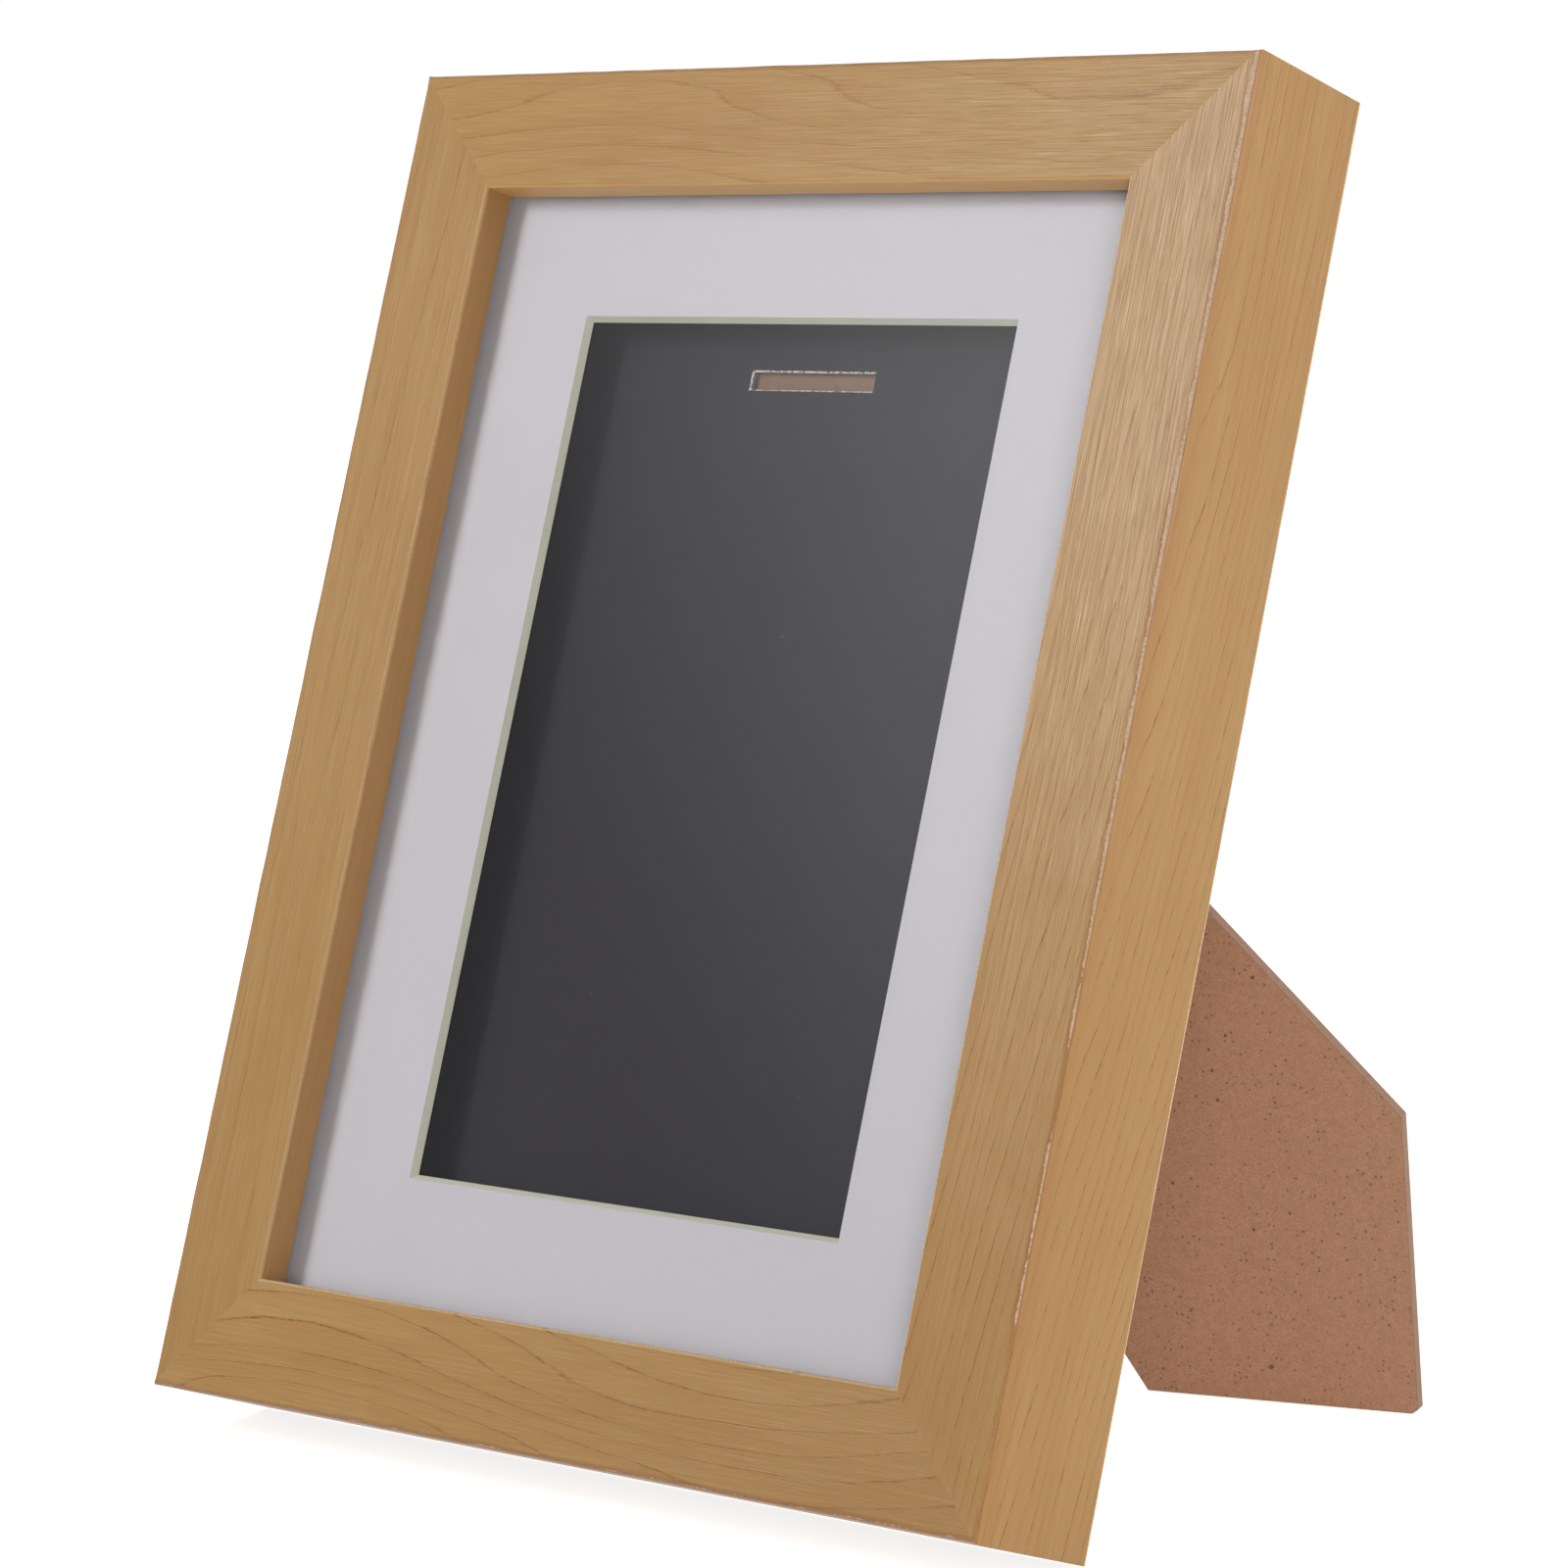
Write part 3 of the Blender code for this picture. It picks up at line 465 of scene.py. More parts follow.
# Finishes


def new_finish(name):
    """An empty material, its tree and its shader."""
    material = bpy.data.materials.new(name)
    material.use_nodes = True
    tree = material.node_tree
    return material, tree, tree.nodes["Principled BSDF"]


def place_in(tree, axes):
    """Where a point lies in these axes, in millimetres."""
    spot = put(tree, "ShaderNodeTexCoord", {}).outputs["Object"]
    values = {"Vector": spot, "Location": axes.to_translation(), "Rotation": axes.to_euler()}
    local = put(tree, "ShaderNodeMapping", values, vector_type="TEXTURE").outputs[0]
    return put(tree, "ShaderNodeVectorMath", {0: local, "Scale": 1000}, operation="SCALE").outputs[0]


def relief(tree, shader, height, depth):
    """Gives the shader the bumps of this height, depth metres deep."""
    bump = put(tree, "ShaderNodeBump", {"Height": height, "Distance": depth, "Strength": 1.0})
    tree.links.new(bump.outputs[0], shader.inputs["Normal"])


def along_ramp(tree, share, stops):
    """A strength that changes along a side, from stops of share and strength."""
    ramp = put(tree, "ShaderNodeValToRGB", {0: share})
    elements = ramp.color_ramp.elements
    while len(elements) < len(stops):
        elements.new(0.5)
    for element, (position, strength) in zip(elements, stops):
        element.position = position
        element.color = (strength, strength, strength, 1)
    return ramp.outputs[0]


def foil_finish(side, growth, pores, worn_and_lit, painted_shade, sight, wall, wall_shading_share):
    """The printed foil of one side, rubbed along its arrises, with painted light and shade. The pores, the
    rubbed arris and the painted shade change along it.

    sight is how strong the painted highlight on its sight edge is. wall is the colour painted on its lip's
    inner wall, as painted light on top and painted shade at the left; the next argument is its share.
    """
    axes, side_length = SIDES[side]
    material, tree, shader = new_finish(f"{side}_foil")
    place = place_in(tree, axes)
    along, depth, inset = put(tree, "ShaderNodeSeparateXYZ", {0: place}).outputs
    share = reckon(tree, "DIVIDE", along, side_length / MM)
    values = {"Place": place, "Pore Strength": along_ramp(tree, share, pores), **growth}
    grain = group_node(tree, FOIL_GRAIN, values)
    from_sight = minus(tree, FACE_WIDTH / MM, inset)
    from_back = minus(tree, FRAME_DEPTH / MM, depth)

    def wear_and_shading(to_face, to_side, width, ragged):
        spread = {"Place": place, "To Face": to_face, "To Side": to_side, "Width": width, "Ragged": ragged}
        return group_node(tree, ARRIS_WEAR_AND_SHADING, spread)

    # Along the outer arris: rubbed bare in front, on the bottom also as a painted highlight from light
    # below, dark beside it, painted shade on its side half, and a warm band where the foil folds
    outer = wear_and_shading(depth, inset, times(tree, along_ramp(tree, share, worn_and_lit), 0.85), 0.9)
    in_front = step_up(tree, minus(tree, inset, depth), -0.3, 0.05)
    bare = times(tree, outer["Worn"], step_up(tree, in_front, 0, 1, 0.1, 0.8))
    rim = times(tree, outer["Rim"], in_front, 0.5)
    # Painted shade on the arris's half that turns to the side
    fold_shade = times(tree, wear_and_shading(depth, inset, 0.8, 0.5)["Worn"], minus(tree, 1.0, in_front), 0.7)
    uneven = times(tree, streaks(tree, place, (0.02, 0.4, 0.4)), -6)
    band = step_up(tree, plus(tree, depth, uneven), -2, 3, 0.34, 0)
    band = times(tree, band, step_up(tree, inset, 0.2, 1, 1, 0))

    # Painted highlight along the sight edge, painted light and shade on the lip's inner wall, and along the
    # back arris
    gleam = times(tree, wear_and_shading(depth, from_sight, 0.5, 0.2)["Worn"], sight)
    wall_shading = step_up(tree, from_sight, 0.02, 0.35, wall_shading_share, 0)
    # The pale back arris: bare wood, and a painted highlight
    rear_bare_and_gleam = wear_and_shading(from_back, inset, 0.5, 0.2)["Worn"]

    # Painted shade, darkening the foil along the side
    painted_shade_share = times(tree, along_ramp(tree, share, painted_shade), in_front)
    colour = painted(tree, grain["Colour"], PAINTED_SHADE_FOIL, painted_shade_share)
    colour = painted(tree, colour, FOLD_BAND, band)
    colour = painted(tree, colour, FOLD_SHADE, fold_shade)
    colour = painted(tree, colour, RUB_RIM, rim)
    colour = painted(tree, colour, RUBBED_BARE_AND_HIGHLIGHT, bare)
    # Painted light and shade on the lip's inner wall, then painted highlights on the sight edge and back
    # arris
    colour = painted(tree, colour, wall, wall_shading)
    colour = painted(tree, colour, SIGHT_GLEAM, gleam)
    colour = painted(tree, colour, REAR_BARE_AND_GLEAM, rear_bare_and_gleam)
    values = {"Base Color": colour, "Roughness": grain["Roughness"], "Specular IOR Level": 0.35}
    feed(tree, shader.inputs, values)
    relief(tree, shader, grain["Height"], 0.05 * MM)
    return material


def bare_wood_finish(side):
    """Unfinished softwood behind and in the rabbet of one side, planed along it."""
    material, tree, shader = new_finish(f"{side}_bare_wood")
    place = place_in(tree, SIDES[side][0])
    split = put(tree, "ShaderNodeSeparateXYZ", {0: place}).outputs
    sway = streaks(tree, place, (0.012, 0.1, 0.1))
    rings = plus(tree, times(tree, split["Z"], 0.34), times(tree, sway, 4), times(tree, split["Y"], 0.11))
    share = reckon(tree, "FRACT", rings)
    late = times(tree, step_up(tree, share, 0.25, 0.9), step_up(tree, share, 0.93, 1, 1, 0))
    fibre = streaks(tree, place, (0.09, 4.2, 4.2), 4, 0.6)
    grime = streaks(tree, place, (0.05, 0.2, 0.2), 3, 0.6)
    colour = painted(tree, linear(SOFTWOOD), SOFTWOOD_RING, late)
    colour = painted(tree, colour, SOFTWOOD_FIBRE, step_up(tree, fibre, 0.45, 0.75, 0, 0.45))
    colour = painted(tree, colour, SOFTWOOD_GRIME, step_up(tree, grime, 0.5, 0.8, 0, 0.25))
    feed(tree, shader.inputs, {"Base Color": colour, "Roughness": 0.75})
    relief(tree, shader, plus(tree, fibre, times(tree, late, 0.5)), 0.07 * MM)
    return material


def board_finish(name, tone, speck_strength, cut=None):
    """Hardboard of this tone. cut is its colour where it was sawn."""
    material, tree, shader = new_finish(name)
    values = {"Place": place_in(tree, LEANED), "Speck Strength": speck_strength}
    fibre = group_node(tree, BOARD_FIBRE, values)
    colour = blend_colours(tree, 1.0, fibre["Colour"], (tone, tone, tone, 1), "MULTIPLY")
    if cut:
        colour = painted(tree, colour, cut, 0.6)
    feed(tree, shader.inputs, {"Base Color": colour, "Roughness": fibre["Roughness"]})
    relief(tree, shader, fibre["Height"], (0.12 if cut else 0.05) * MM)
    return material


def paper_finish(name, colour, strength, gloss=0.25, dust=0.0):
    """Paper or card of one colour, with its tooth and some dust."""
    material, tree, shader = new_finish(name)
    tooth = group_node(tree, PAPER_TOOTH, {"Place": place_in(tree, LEANED), "Strength": strength})
    paper = toned(tree, colour, tooth["Tone"])
    if dust:
        paper = painted(tree, paper, DUST, times(tree, tooth["Dust"], dust))
    feed(tree, shader.inputs, {"Base Color": paper, "Roughness": 0.85, "Specular IOR Level": gloss})
    relief(tree, shader, tooth["Height"], 0.02 * MM)
    return material


def torn_finish():
    """The slot's rim, where the card's dark face is torn from its pale core."""
    material, tree, shader = new_finish("torn_card")
    tears = clouds(tree, place_in(tree, LEANED), 1.8, 4, 0.7)
    colour = painted(tree, linear(CARD_FACE), TORN_CORE, step_up(tree, tears, 0.42, 0.54))
    feed(tree, shader.inputs, {"Base Color": colour, "Roughness": 0.9})
    relief(tree, shader, tears, 0.1 * MM)
    return material


def steel_finish(name, colour):
    """Plated steel sheet."""
    material, tree, shader = new_finish(name)
    steel = group_node(tree, ROLLED_STEEL, {"Place": place_in(tree, LEANED)})
    plating = toned(tree, colour, steel["Tone"])
    feed(tree, shader.inputs, {"Base Color": plating, "Roughness": steel["Roughness"], "Metallic": 1})
    relief(tree, shader, steel["Height"], 0.01 * MM)
    return material


def glass_finish():
    """Clear float glass with a trace of haze."""
    material, tree, shader = new_finish("clear_glass")
    smear = streaks(tree, place_in(tree, LEANED), (0.02, 0.02, 0.05), 4, 0.6)
    haze = step_up(tree, smear, 0.45, 0.75, 0.0, 0.012)
    values = {"Base Color": linear((250, 251, 250)), "Roughness": haze, "IOR": 1.5, "Transmission Weight": 1}
    feed(tree, shader.inputs, values)
    return material


# Each side's foil. The lengths in growth are in millimetres along the side or around its outer arris.
# The stops of the pores, the rubbed arris and the painted shade are shares of the side's length and
# strengths. The pores' stops also set the painted glints and painted sheen, and on the bottom the rubbed
# arris is also a painted highlight.
FOIL_LOOKS = {
    "bottom": {
        "growth": {
            "Seed": 3.1,
            "Heart": -60,
            "Rise": 0,
            "Bow": 6.8,
            "Bow Length": 188,
            "Bow Start": 131,
            "Line Spacing": 4.7,
            "Line Strength": 0.95,
            "Warmth": 0.1,
        },
        "pores": ((0, 0.15), (1, 0.25)),
        # On the bottom this is mostly a painted highlight, from light coming up from below
        "worn_and_lit": ((0, 0.35), (1, 0.5)),
        "painted_shade": ((0, 0), (0.45, 0.22), (1, 0.3)),
        "sight": 0.35,
        "wall": WALL_TAN,
        "wall_shading_share": 0.3,
    },
    "right": {
        "growth": {
            "Seed": 7.4,
            "Heart": -60,
            "Rise": 0.09,
            "Bow": 3,
            "Bow Length": 400,
            "Bow Start": 160,
            "Line Spacing": 2.5,
            "Line Strength": 0.85,
            "Warmth": 0.2,
        },
        "pores": ((0, 0.1), (0.3, 0.15), (0.5, 0.45), (0.7, 0.9), (1, 1)),
        "worn_and_lit": (
            (0, 0.1), (0.12, 0.2), (0.15, 0.75), (0.26, 0.75), (0.3, 0.4), (0.38, 0.85), (0.7, 1), (1, 1.15)
        ),
        "painted_shade": ((0, 0.27), (0.3, 0.17), (0.6, 0)),
        "sight": 0.7,
        "wall": WALL_TAN,
        "wall_shading_share": 0.3,
    },
    "top": {
        "growth": {
            "Seed": 1.7,
            "Heart": -60,
            "Rise": 0,
            "Bow": 4.5,
            "Bow Length": 210,
            "Bow Start": 134,
            "Line Spacing": 4.4,
            "Line Strength": 0.4,
            "Warmth": 0.12,
        },
        "pores": ((0, 0.6), (0.25, 0.4), (0.5, 0.25), (1, 0.15)),
        "worn_and_lit": ((0, 0.1), (0.5, 0.25), (1, 0.1)),
        "painted_shade": ((0, 0), (1, 0)),
        "sight": 0.0,
        # Painted light on the lip's wall, which faces down
        "wall": PAINTED_LIT_WALL,
        "wall_shading_share": 0.75,
    },
    "left": {
        "growth": {
            "Seed": 5.2,
            "Heart": -50,
            "Rise": 0.03,
            "Bow": 1.5,
            "Bow Length": 380,
            "Bow Start": 90,
            "Line Spacing": 4.2,
            "Line Strength": 0.42,
            "Warmth": 0.1,
        },
        "pores": ((0, 0.15), (1, 0.25)),
        "worn_and_lit": ((0, 0.1), (0.5, 0.25), (1, 0.1)),
        "painted_shade": ((0, 0.08), (0.5, 0.16), (1, 0.1)),
        "sight": 0.12,
        # Painted shade on the lip's wall
        "wall": SHADY_WALL,
        "wall_shading_share": 0.4,
    },
}
FOILS = {side: foil_finish(side, **look) for side, look in FOIL_LOOKS.items()}
BARE_WOODS = {side: bare_wood_finish(side) for side in SIDES}
# The same hardboard, much darker, as painted shade on the backing's face behind the card
SHADED_INNER_BOARD = board_finish("shaded_hardboard", 0.28, 0.7)
BACK_BOARD = board_finish("hardboard", 0.84, 0.8)
STRUT_BOARD = board_finish("strut_hardboard", 1.0, 1.0)
BOARD_EDGE = board_finish("hardboard_edge", 0.9, 0.6, BOARD_CUT)
MAT_PAPER = paper_finish("mat_paper", (186, 182, 188), 0.03)
MAT_CORE = paper_finish("mat_core", (188, 186, 170), 0.1)
MAT_LIP = paper_finish("mat_lip", (236, 233, 226), 0.1)
CARD_PAPER = paper_finish("dark_card_paper", (45, 43, 50), 0.12, 0.1, 0.45)
CARD_CORE = paper_finish("card_core", (112, 106, 106), 0.4)
CARD_TEAR = torn_finish()
FOAM = paper_finish("foam_board", (226, 224, 218), 0.08)
ZINC = steel_finish("zinc_plate", (190, 190, 186))
BRASSED = steel_finish("brassed_steel", (192, 168, 118))
GLASS = glass_finish()


# Modelling by hand


def start_box(name, low, high):
    """A cube between two corners, open in edit mode."""
    low, high = Vector(low), Vector(high)
    bpy.ops.object.select_all(action="DESELECT")
    bpy.ops.mesh.primitive_cube_add(size=1, location=(low + high) / 2, scale=high - low)
    made = bpy.context.object
    made.name = made.data.name = name
    bpy.ops.object.transform_apply(location=True, rotation=True, scale=True)
    bpy.ops.object.mode_set(mode="EDIT")
    return made


def pick(kind, test):
    """Selects what passes the test in the mesh that is being edited, and nothing else."""
    bpy.ops.mesh.select_mode(type=kind)
    bpy.ops.mesh.select_all(action="DESELECT")
    mesh = bmesh.from_edit_mesh(bpy.context.edit_object.data)
    for part in {"VERT": mesh.verts, "EDGE": mesh.edges, "FACE": mesh.faces}[kind]:
        if test(part):
            part.select_set(True)
    mesh.select_flush_mode()
    bmesh.update_edit_mesh(bpy.context.edit_object.data)


def saw(place, normal, clear=False):
    """Cuts the whole edited mesh with a plane, and clears and caps what lies behind it if asked."""
    bpy.ops.mesh.select_all(action="SELECT")
    bpy.ops.mesh.bisect(plane_co=place, plane_no=normal, clear_inner=clear, use_fill=clear)


def at(point, axis, value):
    """Whether a point lies on the plane where that axis has this value."""
    return abs(point[axis] - value) < SAME_PLACE


def round_over(test, width, steps):
    """Rounds the edges that pass the test."""
    pick("EDGE", test)
    bpy.ops.mesh.bevel(offset=width, offset_type="OFFSET", segments=steps, affect="EDGES")


def finish_faces(test, slot):
    """Gives the faces that pass the test the object's material of that number."""
    pick("FACE", test)
    bpy.context.object.active_material_index = slot
    bpy.ops.object.material_slot_assign()


def close(made, axes, angle=35):
    """Leaves edit mode, sets the piece in its place and smooths its rounded edges."""
    bpy.ops.object.mode_set(mode="OBJECT")
    made.matrix_world = axes
    bpy.ops.object.transform_apply(location=True, rotation=True, scale=True)
    bpy.ops.object.shade_smooth_by_angle(angle=math.radians(angle))
    even = made.modifiers.new("even_shading", "WEIGHTED_NORMAL")
    even.keep_sharp = True
    bpy.ops.object.modifier_apply(modifier=even.name)


def seat(made, node, body):
    """Lets a piece ride on its body in the place of a CAD node."""
    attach(made, body)
    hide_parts(node)


def copy_of(node, name):
    """A copy of a CAD node's mesh in a new object, merged and open in edit mode."""
    bpy.ops.object.select_all(action="DESELECT")
    made = bpy.data.objects.new(name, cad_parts[node].data.copy())
    made.data.name = name
    made.data.materials.clear()
    bpy.context.scene.collection.objects.link(made)
    bpy.context.view_layer.objects.active = made
    made.select_set(True)
    bpy.ops.object.mode_set(mode="EDIT")
    bpy.ops.mesh.select_all(action="SELECT")
    bpy.ops.mesh.remove_doubles(threshold=SAME_PLACE)
    bpy.ops.mesh.dissolve_limited(angle_limit=math.radians(0.5))
    return made


# The four sides


def cut_with(made, cutter):
    """Cuts a piece with another, which is then removed."""
    bpy.ops.object.select_all(action="DESELECT")
    bpy.context.view_layer.objects.active = made
    made.select_set(True)
    cut = made.modifiers.new("cut", "BOOLEAN")
    cut.object = cutter
    cut.solver = "EXACT"
    bpy.ops.object.modifier_apply(modifier=cut.name)
    bpy.data.objects.remove(cutter, do_unlink=True)


def room_for(node, side):
    """A cutter a little larger than a driven nail or tab, which reaches out behind the wood."""
    cutter = copy_of(node, f"{node}_room")
    behind = LEANED.to_3x3() @ BACK
    pick("FACE", lambda face: face.normal.dot(behind) > 0.99)
    if node.startswith("corner_nail"):
        bpy.ops.transform.translate(value=behind * MM)
    bpy.ops.mesh.select_all(action="SELECT")
    bpy.ops.transform.shrink_fatten(value=SLOT_ROOM)
    bpy.ops.object.mode_set(mode="OBJECT")
    cutter.data.materials.append(None)
    cutter.data.materials.append(BARE_WOODS[side])
    for face in cutter.data.polygons:
        face.material_index = 1
    return cutter


HANDLING = bpy.data.textures.new("handling", "CLOUDS")
HANDLING.noise_scale = 9 * MM
HANDLING.noise_depth = 3


def wear_arris(made, side):
    """Dents and rubs the outer front arris a little, so that it isn't a ruled line."""
    arris = made.vertex_groups.new(name="arris")
    reach = 1.05 * OUTER_ARRIS
    length = SIDES[side][1]
    near = []
    for vertex in made.data.vertices:
        along, depth, inset = vertex.co
        mitred = min(along - inset, length - along - inset) < 0.1 * MM
        if depth < reach and inset < reach and not mitred:
            near.append(vertex.index)
    arris.add(near, 1, "REPLACE")
    rub = made.modifiers.new("rub", "DISPLACE")
    rub.texture = HANDLING
    rub.vertex_group = arris.name
    rub.mid_level = 1
    rub.strength = RIGHT_RUB if side == "right" else RUB
    bpy.ops.object.modifier_apply(modifier=rub.name)


def lies_at(edge, inset, depth):
    """Whether both ends of an edge have this inset and depth."""
    return all(at(vertex.co, 2, inset) and at(vertex.co, 1, depth) for vertex in edge.verts)


def moulding(side, driven):
    """One mitred length of rabbeted moulding, modelled along its own axes."""
    axes, length = SIDES[side]
    made = start_box(f"{side}_moulding", (0, 0, 0), (length, FRAME_DEPTH, BACK_LAND))
    made.data.materials.append(FOILS[side])
    made.data.materials.append(BARE_WOODS[side])
    saw((0, LIP_DEPTH, 0), (0, 1, 0))

    def lip_root(face):
        middle = face.calc_center_median()
        return at(middle, 2, BACK_LAND) and middle.y < LIP_DEPTH

    def back_arris(edge):
        return lies_at(edge, 0, FRAME_DEPTH) or lies_at(edge, BACK_LAND, FRAME_DEPTH)

    def along(edge):
        return abs(edge.verts[0].co.x - edge.verts[1].co.x) > length / 2

    def raw(face):
        middle = face.calc_center_median()
        back = face.normal.y > 0.8
        rabbet = middle.y > LIP_DEPTH - 0.01 * MM and middle.z > BACK_LAND - 0.05 * MM
        return back or rabbet

    pick("FACE", lip_root)
    bpy.ops.mesh.extrude_region_move(TRANSFORM_OT_translate={"value": (0, 0, FACE_WIDTH - BACK_LAND)})
    saw((MITRE_GAP, 0, 0), (1, 0, -1), clear=True)
    saw((length - MITRE_GAP, 0, 0), (-1, 0, -1), clear=True)
    round_over(lambda edge: lies_at(edge, 0, 0), OUTER_ARRIS, steps=6)
    round_over(lambda edge: lies_at(edge, FACE_WIDTH, 0), SIGHT_ARRIS, steps=5)
    round_over(back_arris, BACK_ARRIS, steps=3)
    pick("EDGE", along)
    bpy.ops.mesh.subdivide(number_cuts=round(length / LENGTH_STEP))
    finish_faces(raw, 1)
    bpy.ops.object.mode_set(mode="OBJECT")
    wear_arris(made, side)
    close(made, axes)
    for node in driven:
        cut_with(made, room_for(node, side))
    return made


# Each side's CAD node, the corners at its ends and the hanger nailed to it
MOULDINGS = {
    "bottom": ("rail_bottom", ("bottom_left", "bottom_right"), None),
    "right": ("stile_right", ("bottom_right", "top_right"), None),
    "top": ("rail_top", ("top_right", "top_left"), "hanger_upright"),
    "left": ("stile_left", ("top_left", "bottom_left"), "hanger_sideways"),
}
for side, (node, corners, hanger) in MOULDINGS.items():
    driven = [f"corner_nail_{corner}" for corner in corners]
    driven += [f"{node}_tab_{number}" for number in (1, 2)]
    if hanger:
        driven += [f"{hanger}_nail_{number}" for number in (1, 2)]
    seat(moulding(side, driven), node, "display_frame")


# The mat and the card


def within(point, hole):
    """Whether a point lies in a hole or on its rim."""
    left, right, bottom, top = hole
    across = left - SAME_PLACE < point.x < right + SAME_PLACE
    return across and bottom - SAME_PLACE < point.z < top + SAME_PLACE


def pierced_sheet(name, front, thick, hole, narrowing, finishes):
    """A sheet that fills the rabbet, with a hole whose cut walls take the second finish."""
    back = front + thick
    low = (SHEET_INSET, front, SHEET_INSET)
    high = (FRAME_WIDTH - SHEET_INSET, back, FRAME_HEIGHT - SHEET_INSET)
    made = start_box(name, low, high)
    for finish in finishes:
        made.data.materials.append(finish)
    left, right, bottom, top = hole
    saw((left, 0, 0), (1, 0, 0))
    saw((right, 0, 0), (1, 0, 0))
    saw((0, 0, bottom), (0, 0, 1))
    saw((0, 0, top), (0, 0, 1))

    def over_hole(face):
        return abs(face.normal.y) > 0.9 and within(face.calc_center_median(), hole)

    def wall(face):
        return abs(face.normal.y) < 0.9 and within(face.calc_center_median(), hole)

    pick("FACE", over_hole)
    bpy.ops.mesh.delete(type="FACE")
    pick("EDGE", lambda edge: edge.is_boundary)
    bpy.ops.mesh.bridge_edge_loops()
    middle = ((left + right) / 2, back, (bottom + top) / 2)
    shrink = (1 - 2 * narrowing / (right - left), 1, 1 - 2 * narrowing / (top - bottom))
    pick("VERT", lambda vertex: within(vertex.co, hole) and at(vertex.co, 1, back))
    bpy.ops.transform.resize(value=shrink, center_override=middle)
    finish_faces(wall, 1)
    return made


def hole_edge(hole, depth):
    """A test for the edges of a hole that lie at this depth."""

    def on_rim(edge):
        return all(within(vertex.co, hole) and at(vertex.co, 1, depth) for vertex in edge.verts)

    return on_rim


def window_hole():
    """The window's sides at the mat's front: left, right, bottom, top."""
    across = (FRAME_WIDTH - WINDOW_WIDTH) / 2
    up = (FRAME_HEIGHT - WINDOW_HEIGHT) / 2
    return across, FRAME_WIDTH - across, up, FRAME_HEIGHT - up


def slot_hole():
    """The slot's sides: left, right, bottom, top."""
    across = (FRAME_WIDTH - SLOT_WIDTH) / 2
    middle = window_hole()[3] - SLOT_DROP
    return across, FRAME_WIDTH - across, middle - SLOT_HEIGHT / 2, middle + SLOT_HEIGHT / 2


def bevelled_mat():
    """The mat, with its window cut at a slant and a thin bright lip at the back of the cut."""
    finishes = (MAT_PAPER, MAT_CORE, MAT_LIP)
    made = pierced_sheet("bevelled_mat", MAT_FRONT, MAT_THICK, window_hole(), WINDOW_BEVEL, finishes)
    round_over(hole_edge(window_hole(), MAT_FRONT + MAT_THICK), LIP_WIDTH, steps=1)

    def lip(face):
        return abs(face.normal.y) < 0.5 and face.calc_center_median().y > MAT_FRONT + 1 * MM

    finish_faces(lip, 2)
    return made


def slotted_card():
    """The dark card, with the rim of its slot torn pale."""
    finishes = (CARD_PAPER, CARD_CORE, CARD_TEAR)
    made = pierced_sheet("ribbon_card", CARD_FRONT, CARD_THICK, slot_hole(), 0, finishes)
    round_over(hole_edge(slot_hole(), CARD_FRONT), TEAR_WIDTH, steps=1)
    finish_faces(lambda face: 0.2 < abs(face.normal.y) < 0.95, 2)
    return made


def lay(sheet, node):
    """Closes a sheet and lays it in the rabbet."""
    close(sheet, LEANED)
    seat(sheet, node, "display_frame")


lay(bevelled_mat(), "window_mat")
lay(slotted_card(), "slotted_card")


# The other pieces


def softened(node, finishes, width, steps=2, angle=30):
    """A CAD node's copy with its sharp edges rounded, ready to take the node's place.

    Its broadest face takes the first finish, the face across from it the second if there are three,
    and its cut edges the last.
    """
    made = copy_of(node, f"soft_{node}")
    bpy.ops.object.mode_set(mode="OBJECT")
    for finish in finishes:
        made.data.materials.append(finish)
    broad = max(made.data.polygons, key=lambda face: face.area).normal.copy()
    for face in made.data.polygons:
        turn = face.normal.dot(broad)
        if abs(turn) < 0.5:
            face.material_index = len(finishes) - 1
        else:
            face.material_index = 1 if turn < 0 and len(finishes) == 3 else 0
    rounding = made.modifiers.new("rounding", "BEVEL")
    rounding.width = width
    rounding.segments = steps
    rounding.limit_method = "ANGLE"
    rounding.angle_limit = math.radians(angle)
    rounding.material = len(finishes) - 1
    bpy.ops.object.modifier_apply(modifier=rounding.name)
    close(made, Matrix.Identity(4), angle)
    return made


# Finishes, rounding in millimetres and material slot
STEEL_SHEET = ((ZINC,), 0.12, "steel")
STEEL_TURNED = ((ZINC,), 0.16, "steel")
BRASSED_SHEET = ((BRASSED,), 0.14, "brassed_steel")
LOOKS = {
    "strut": ((STRUT_BOARD, BOARD_EDGE), 0.28, "hardboard"),
    "backing_board": ((SHADED_INNER_BOARD, BACK_BOARD, BOARD_EDGE), 0.2, "hardboard"),
    "hinge_fixed_leaf": STEEL_SHEET,
    "hinge_moving_leaf": STEEL_SHEET,
    "hinge_pin": STEEL_TURNED,
}
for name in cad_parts:
    if "rivet" in name:
        LOOKS[name] = STEEL_TURNED
    elif "_tab_" in name or "corner_nail" in name:
        LOOKS[name] = STEEL_SHEET
    elif name.startswith("hanger"):
        LOOKS[name] = BRASSED_SHEET
    elif name.startswith("spacer"):
        LOOKS[name] = ((FOAM,), 0.25, "foam_board")
SWINGING = ("strut", "hinge_moving_leaf", "strut_rivet_left", "strut_rivet_right")
for node, (finishes, width, slot) in LOOKS.items():
    body = "strut_swing" if node in SWINGING else "display_frame"
    seat(softened(node, finishes, width * MM), node, body)

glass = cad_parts["glazing"]
glass.data.materials.clear()
glass.data.materials.append(GLASS)
glass.visible_shadow = False


# Floor, lights and camera


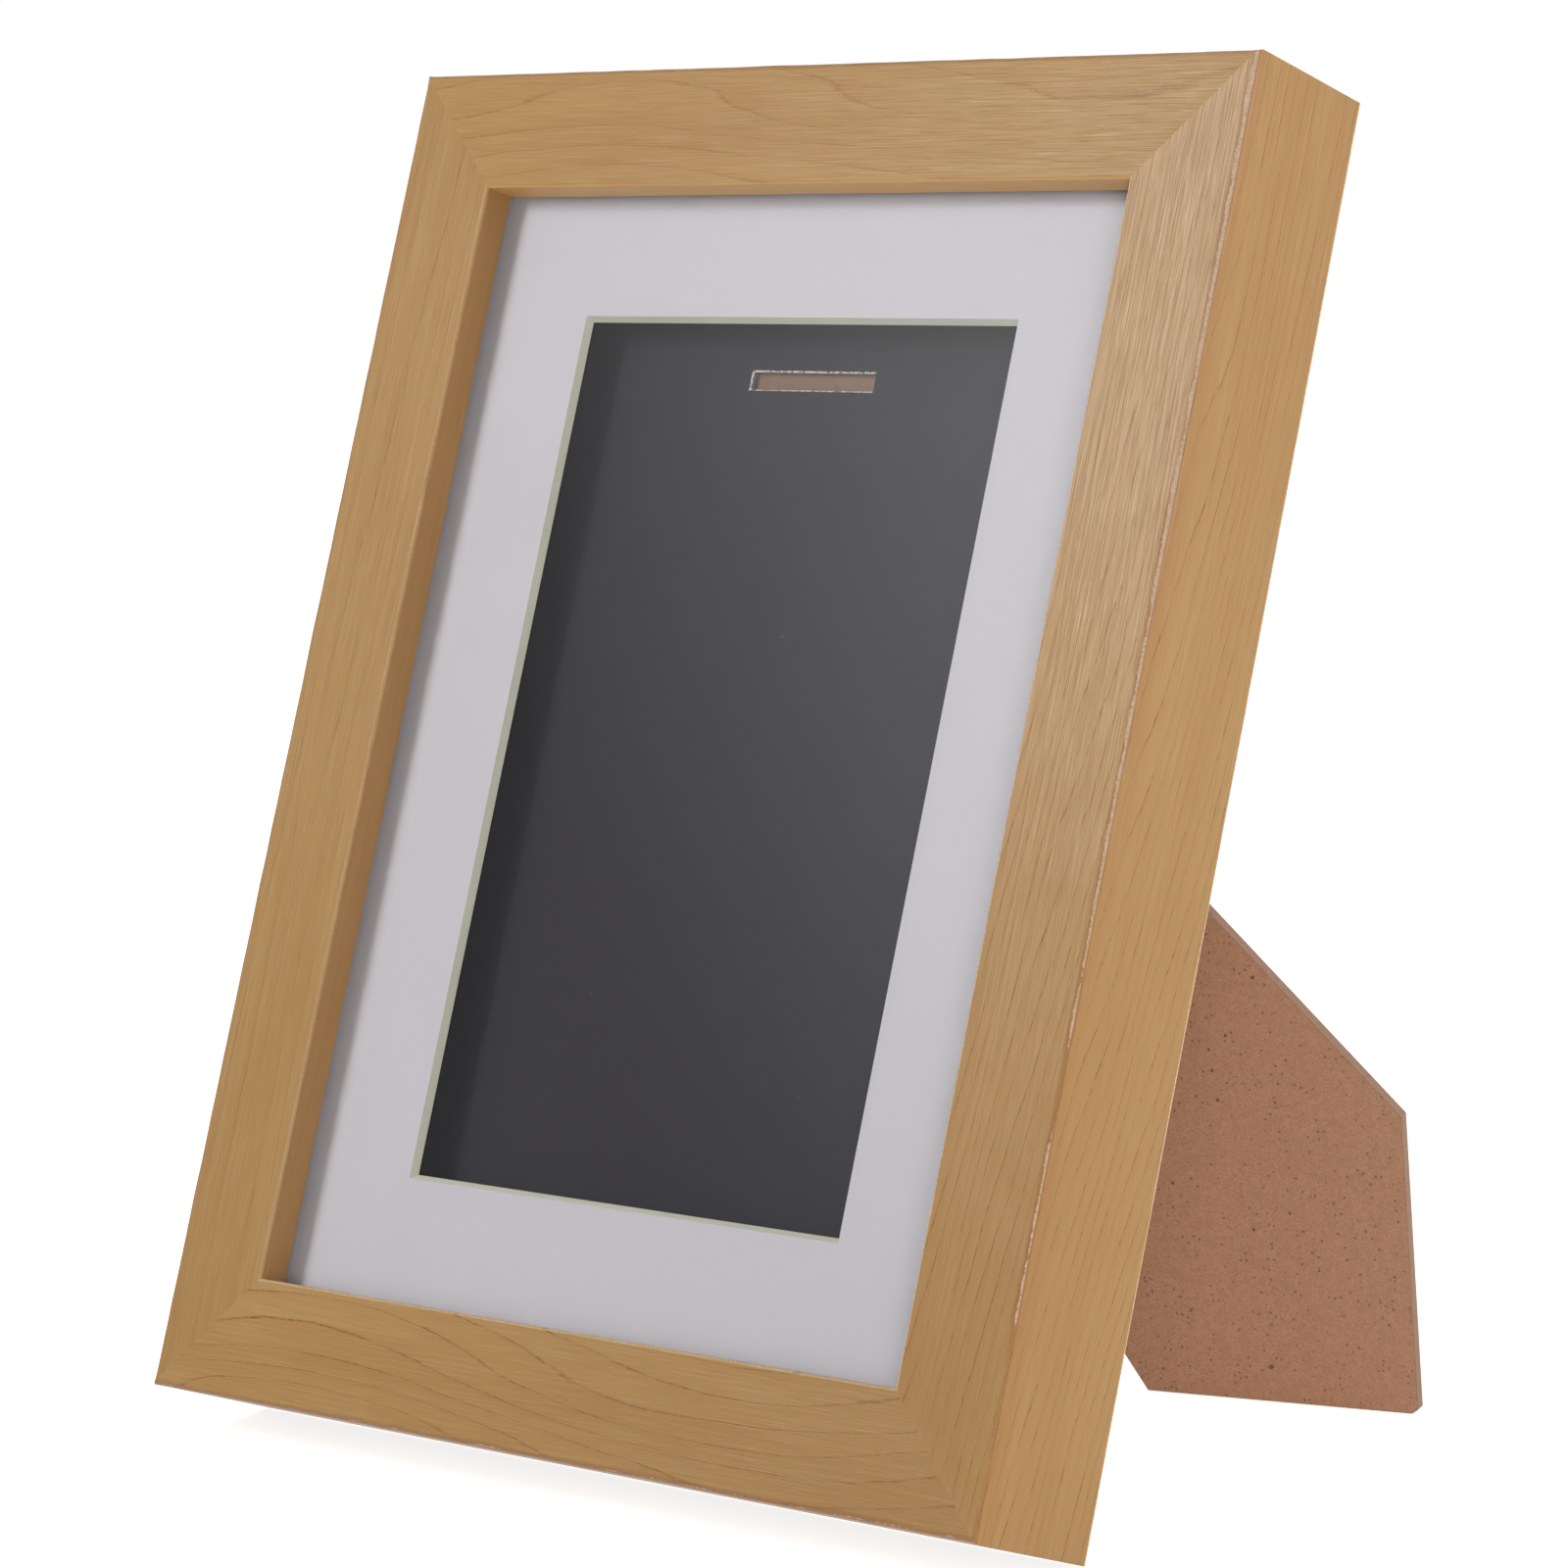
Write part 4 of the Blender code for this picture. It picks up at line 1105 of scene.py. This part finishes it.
def seen_directly(tree):
    """Whether a ray shows its target to the camera, straight or through glass, or mirrors it."""
    path = put(tree, "ShaderNodeLightPath", {}).outputs
    before_matt = reckon(tree, "LESS_THAN", path["Diffuse Depth"], 0.5)
    unmirrored = reckon(tree, "LESS_THAN", path["Glossy Depth"], 0.5)
    through = times(tree, path["Is Transmission Ray"], before_matt, unmirrored)
    gloss = times(tree, path["Is Glossy Ray"], before_matt)
    mirrored = reckon(tree, "SUBTRACT", gloss, through, clamp=True)
    return reckon(tree, "MAXIMUM", path["Is Camera Ray"], through), mirrored


def floor_finish():
    """A pale floor that is white to the camera and in gloss, with a trace of the frame's shadow."""
    material, tree, shader = new_finish("pale_floor")
    seen, mirrored = seen_directly(tree)
    glow = times(tree, reckon(tree, "MAXIMUM", seen, mirrored), FLOOR_GLOW)
    values = {
        "Base Color": linear((230, 230, 230)),
        "Roughness": 0.9,
        "Emission Color": (1, 1, 1, 1),
        "Emission Strength": glow,
    }
    feed(tree, shader.inputs, values)
    return material


bpy.ops.object.select_all(action="DESELECT")
bpy.ops.mesh.primitive_plane_add(size=8, location=(0, 0, -0.2 * MM))
floor = bpy.context.object
floor.name = "floor"
floor.data.materials.append(floor_finish())


def studio_world():
    """Even light for matt surfaces, white behind, and for gloss a dim room with a soft glow in front."""
    world = bpy.data.worlds.new("studio")
    world.use_nodes = True
    tree = world.node_tree
    tree.nodes.clear()
    aim = put(tree, "ShaderNodeTexCoord", {}).outputs["Generated"]
    backwards = put(tree, "ShaderNodeSeparateXYZ", {0: aim}).outputs[1]
    towards = put(tree, "ShaderNodeVectorMath", {0: aim, 1: GLOW_AIM}, operation="DOT_PRODUCT")
    glow = step_up(tree, towards.outputs["Value"], GLOW_RIM, GLOW_CORE, 0, GLOW_LIGHT)
    room = step_up(tree, backwards, -0.35, 0.1, DIM_ROOM, 1)
    in_gloss = reckon(tree, "ADD", room, glow, clamp=True)
    seen, mirrored = seen_directly(tree)
    level = step_up(tree, seen, 0, 1, ROOM_LIGHT, 1)
    strength = plus(tree, level, times(tree, mirrored, minus(tree, in_gloss, level)))
    background = put(tree, "ShaderNodeBackground", {"Color": (1, 1, 1, 1), "Strength": strength})
    put(tree, "ShaderNodeOutputWorld", {"Surface": background.outputs[0]})
    return world


bpy.context.scene.world = studio_world()


def soft_lamp(name, place, width, height, power):
    """A soft box at a place, turned to face the middle of the frame."""
    lamp = bpy.data.lights.new(name, "AREA")
    lamp.shape = "RECTANGLE"
    lamp.size = width
    lamp.size_y = height
    lamp.energy = power
    made = bpy.data.objects.new(name, lamp)
    made.location = place
    made.rotation_euler = (FRAME_MIDDLE - Vector(place)).to_track_quat("-Z", "Y").to_euler()
    made.visible_transmission = False  # the glass lets its light through without a shadow already
    bpy.context.scene.collection.objects.link(made)


soft_lamp("key_light", (-0.43, -0.757, 0.613), width=0.2, height=0.35, power=3.2)
soft_lamp("fill_light", (1.02, -1.05, 0.27), width=0.5, height=0.5, power=5)
soft_lamp("side_light", (1.3, 0.35, 0.6), width=0.8, height=0.8, power=7)

camera = bpy.data.objects.new("camera", bpy.data.cameras.new("camera"))
camera.location = CAMERA_PLACE
camera.rotation_euler = Euler(map(math.radians, CAMERA_TURN))
camera.data.lens = CAMERA_LENS
camera.data.sensor_width = 36
camera.data.clip_start = 0.01
bpy.context.scene.collection.objects.link(camera)
bpy.context.scene.camera = camera

bpy.context.scene.view_settings.view_transform = "Standard"
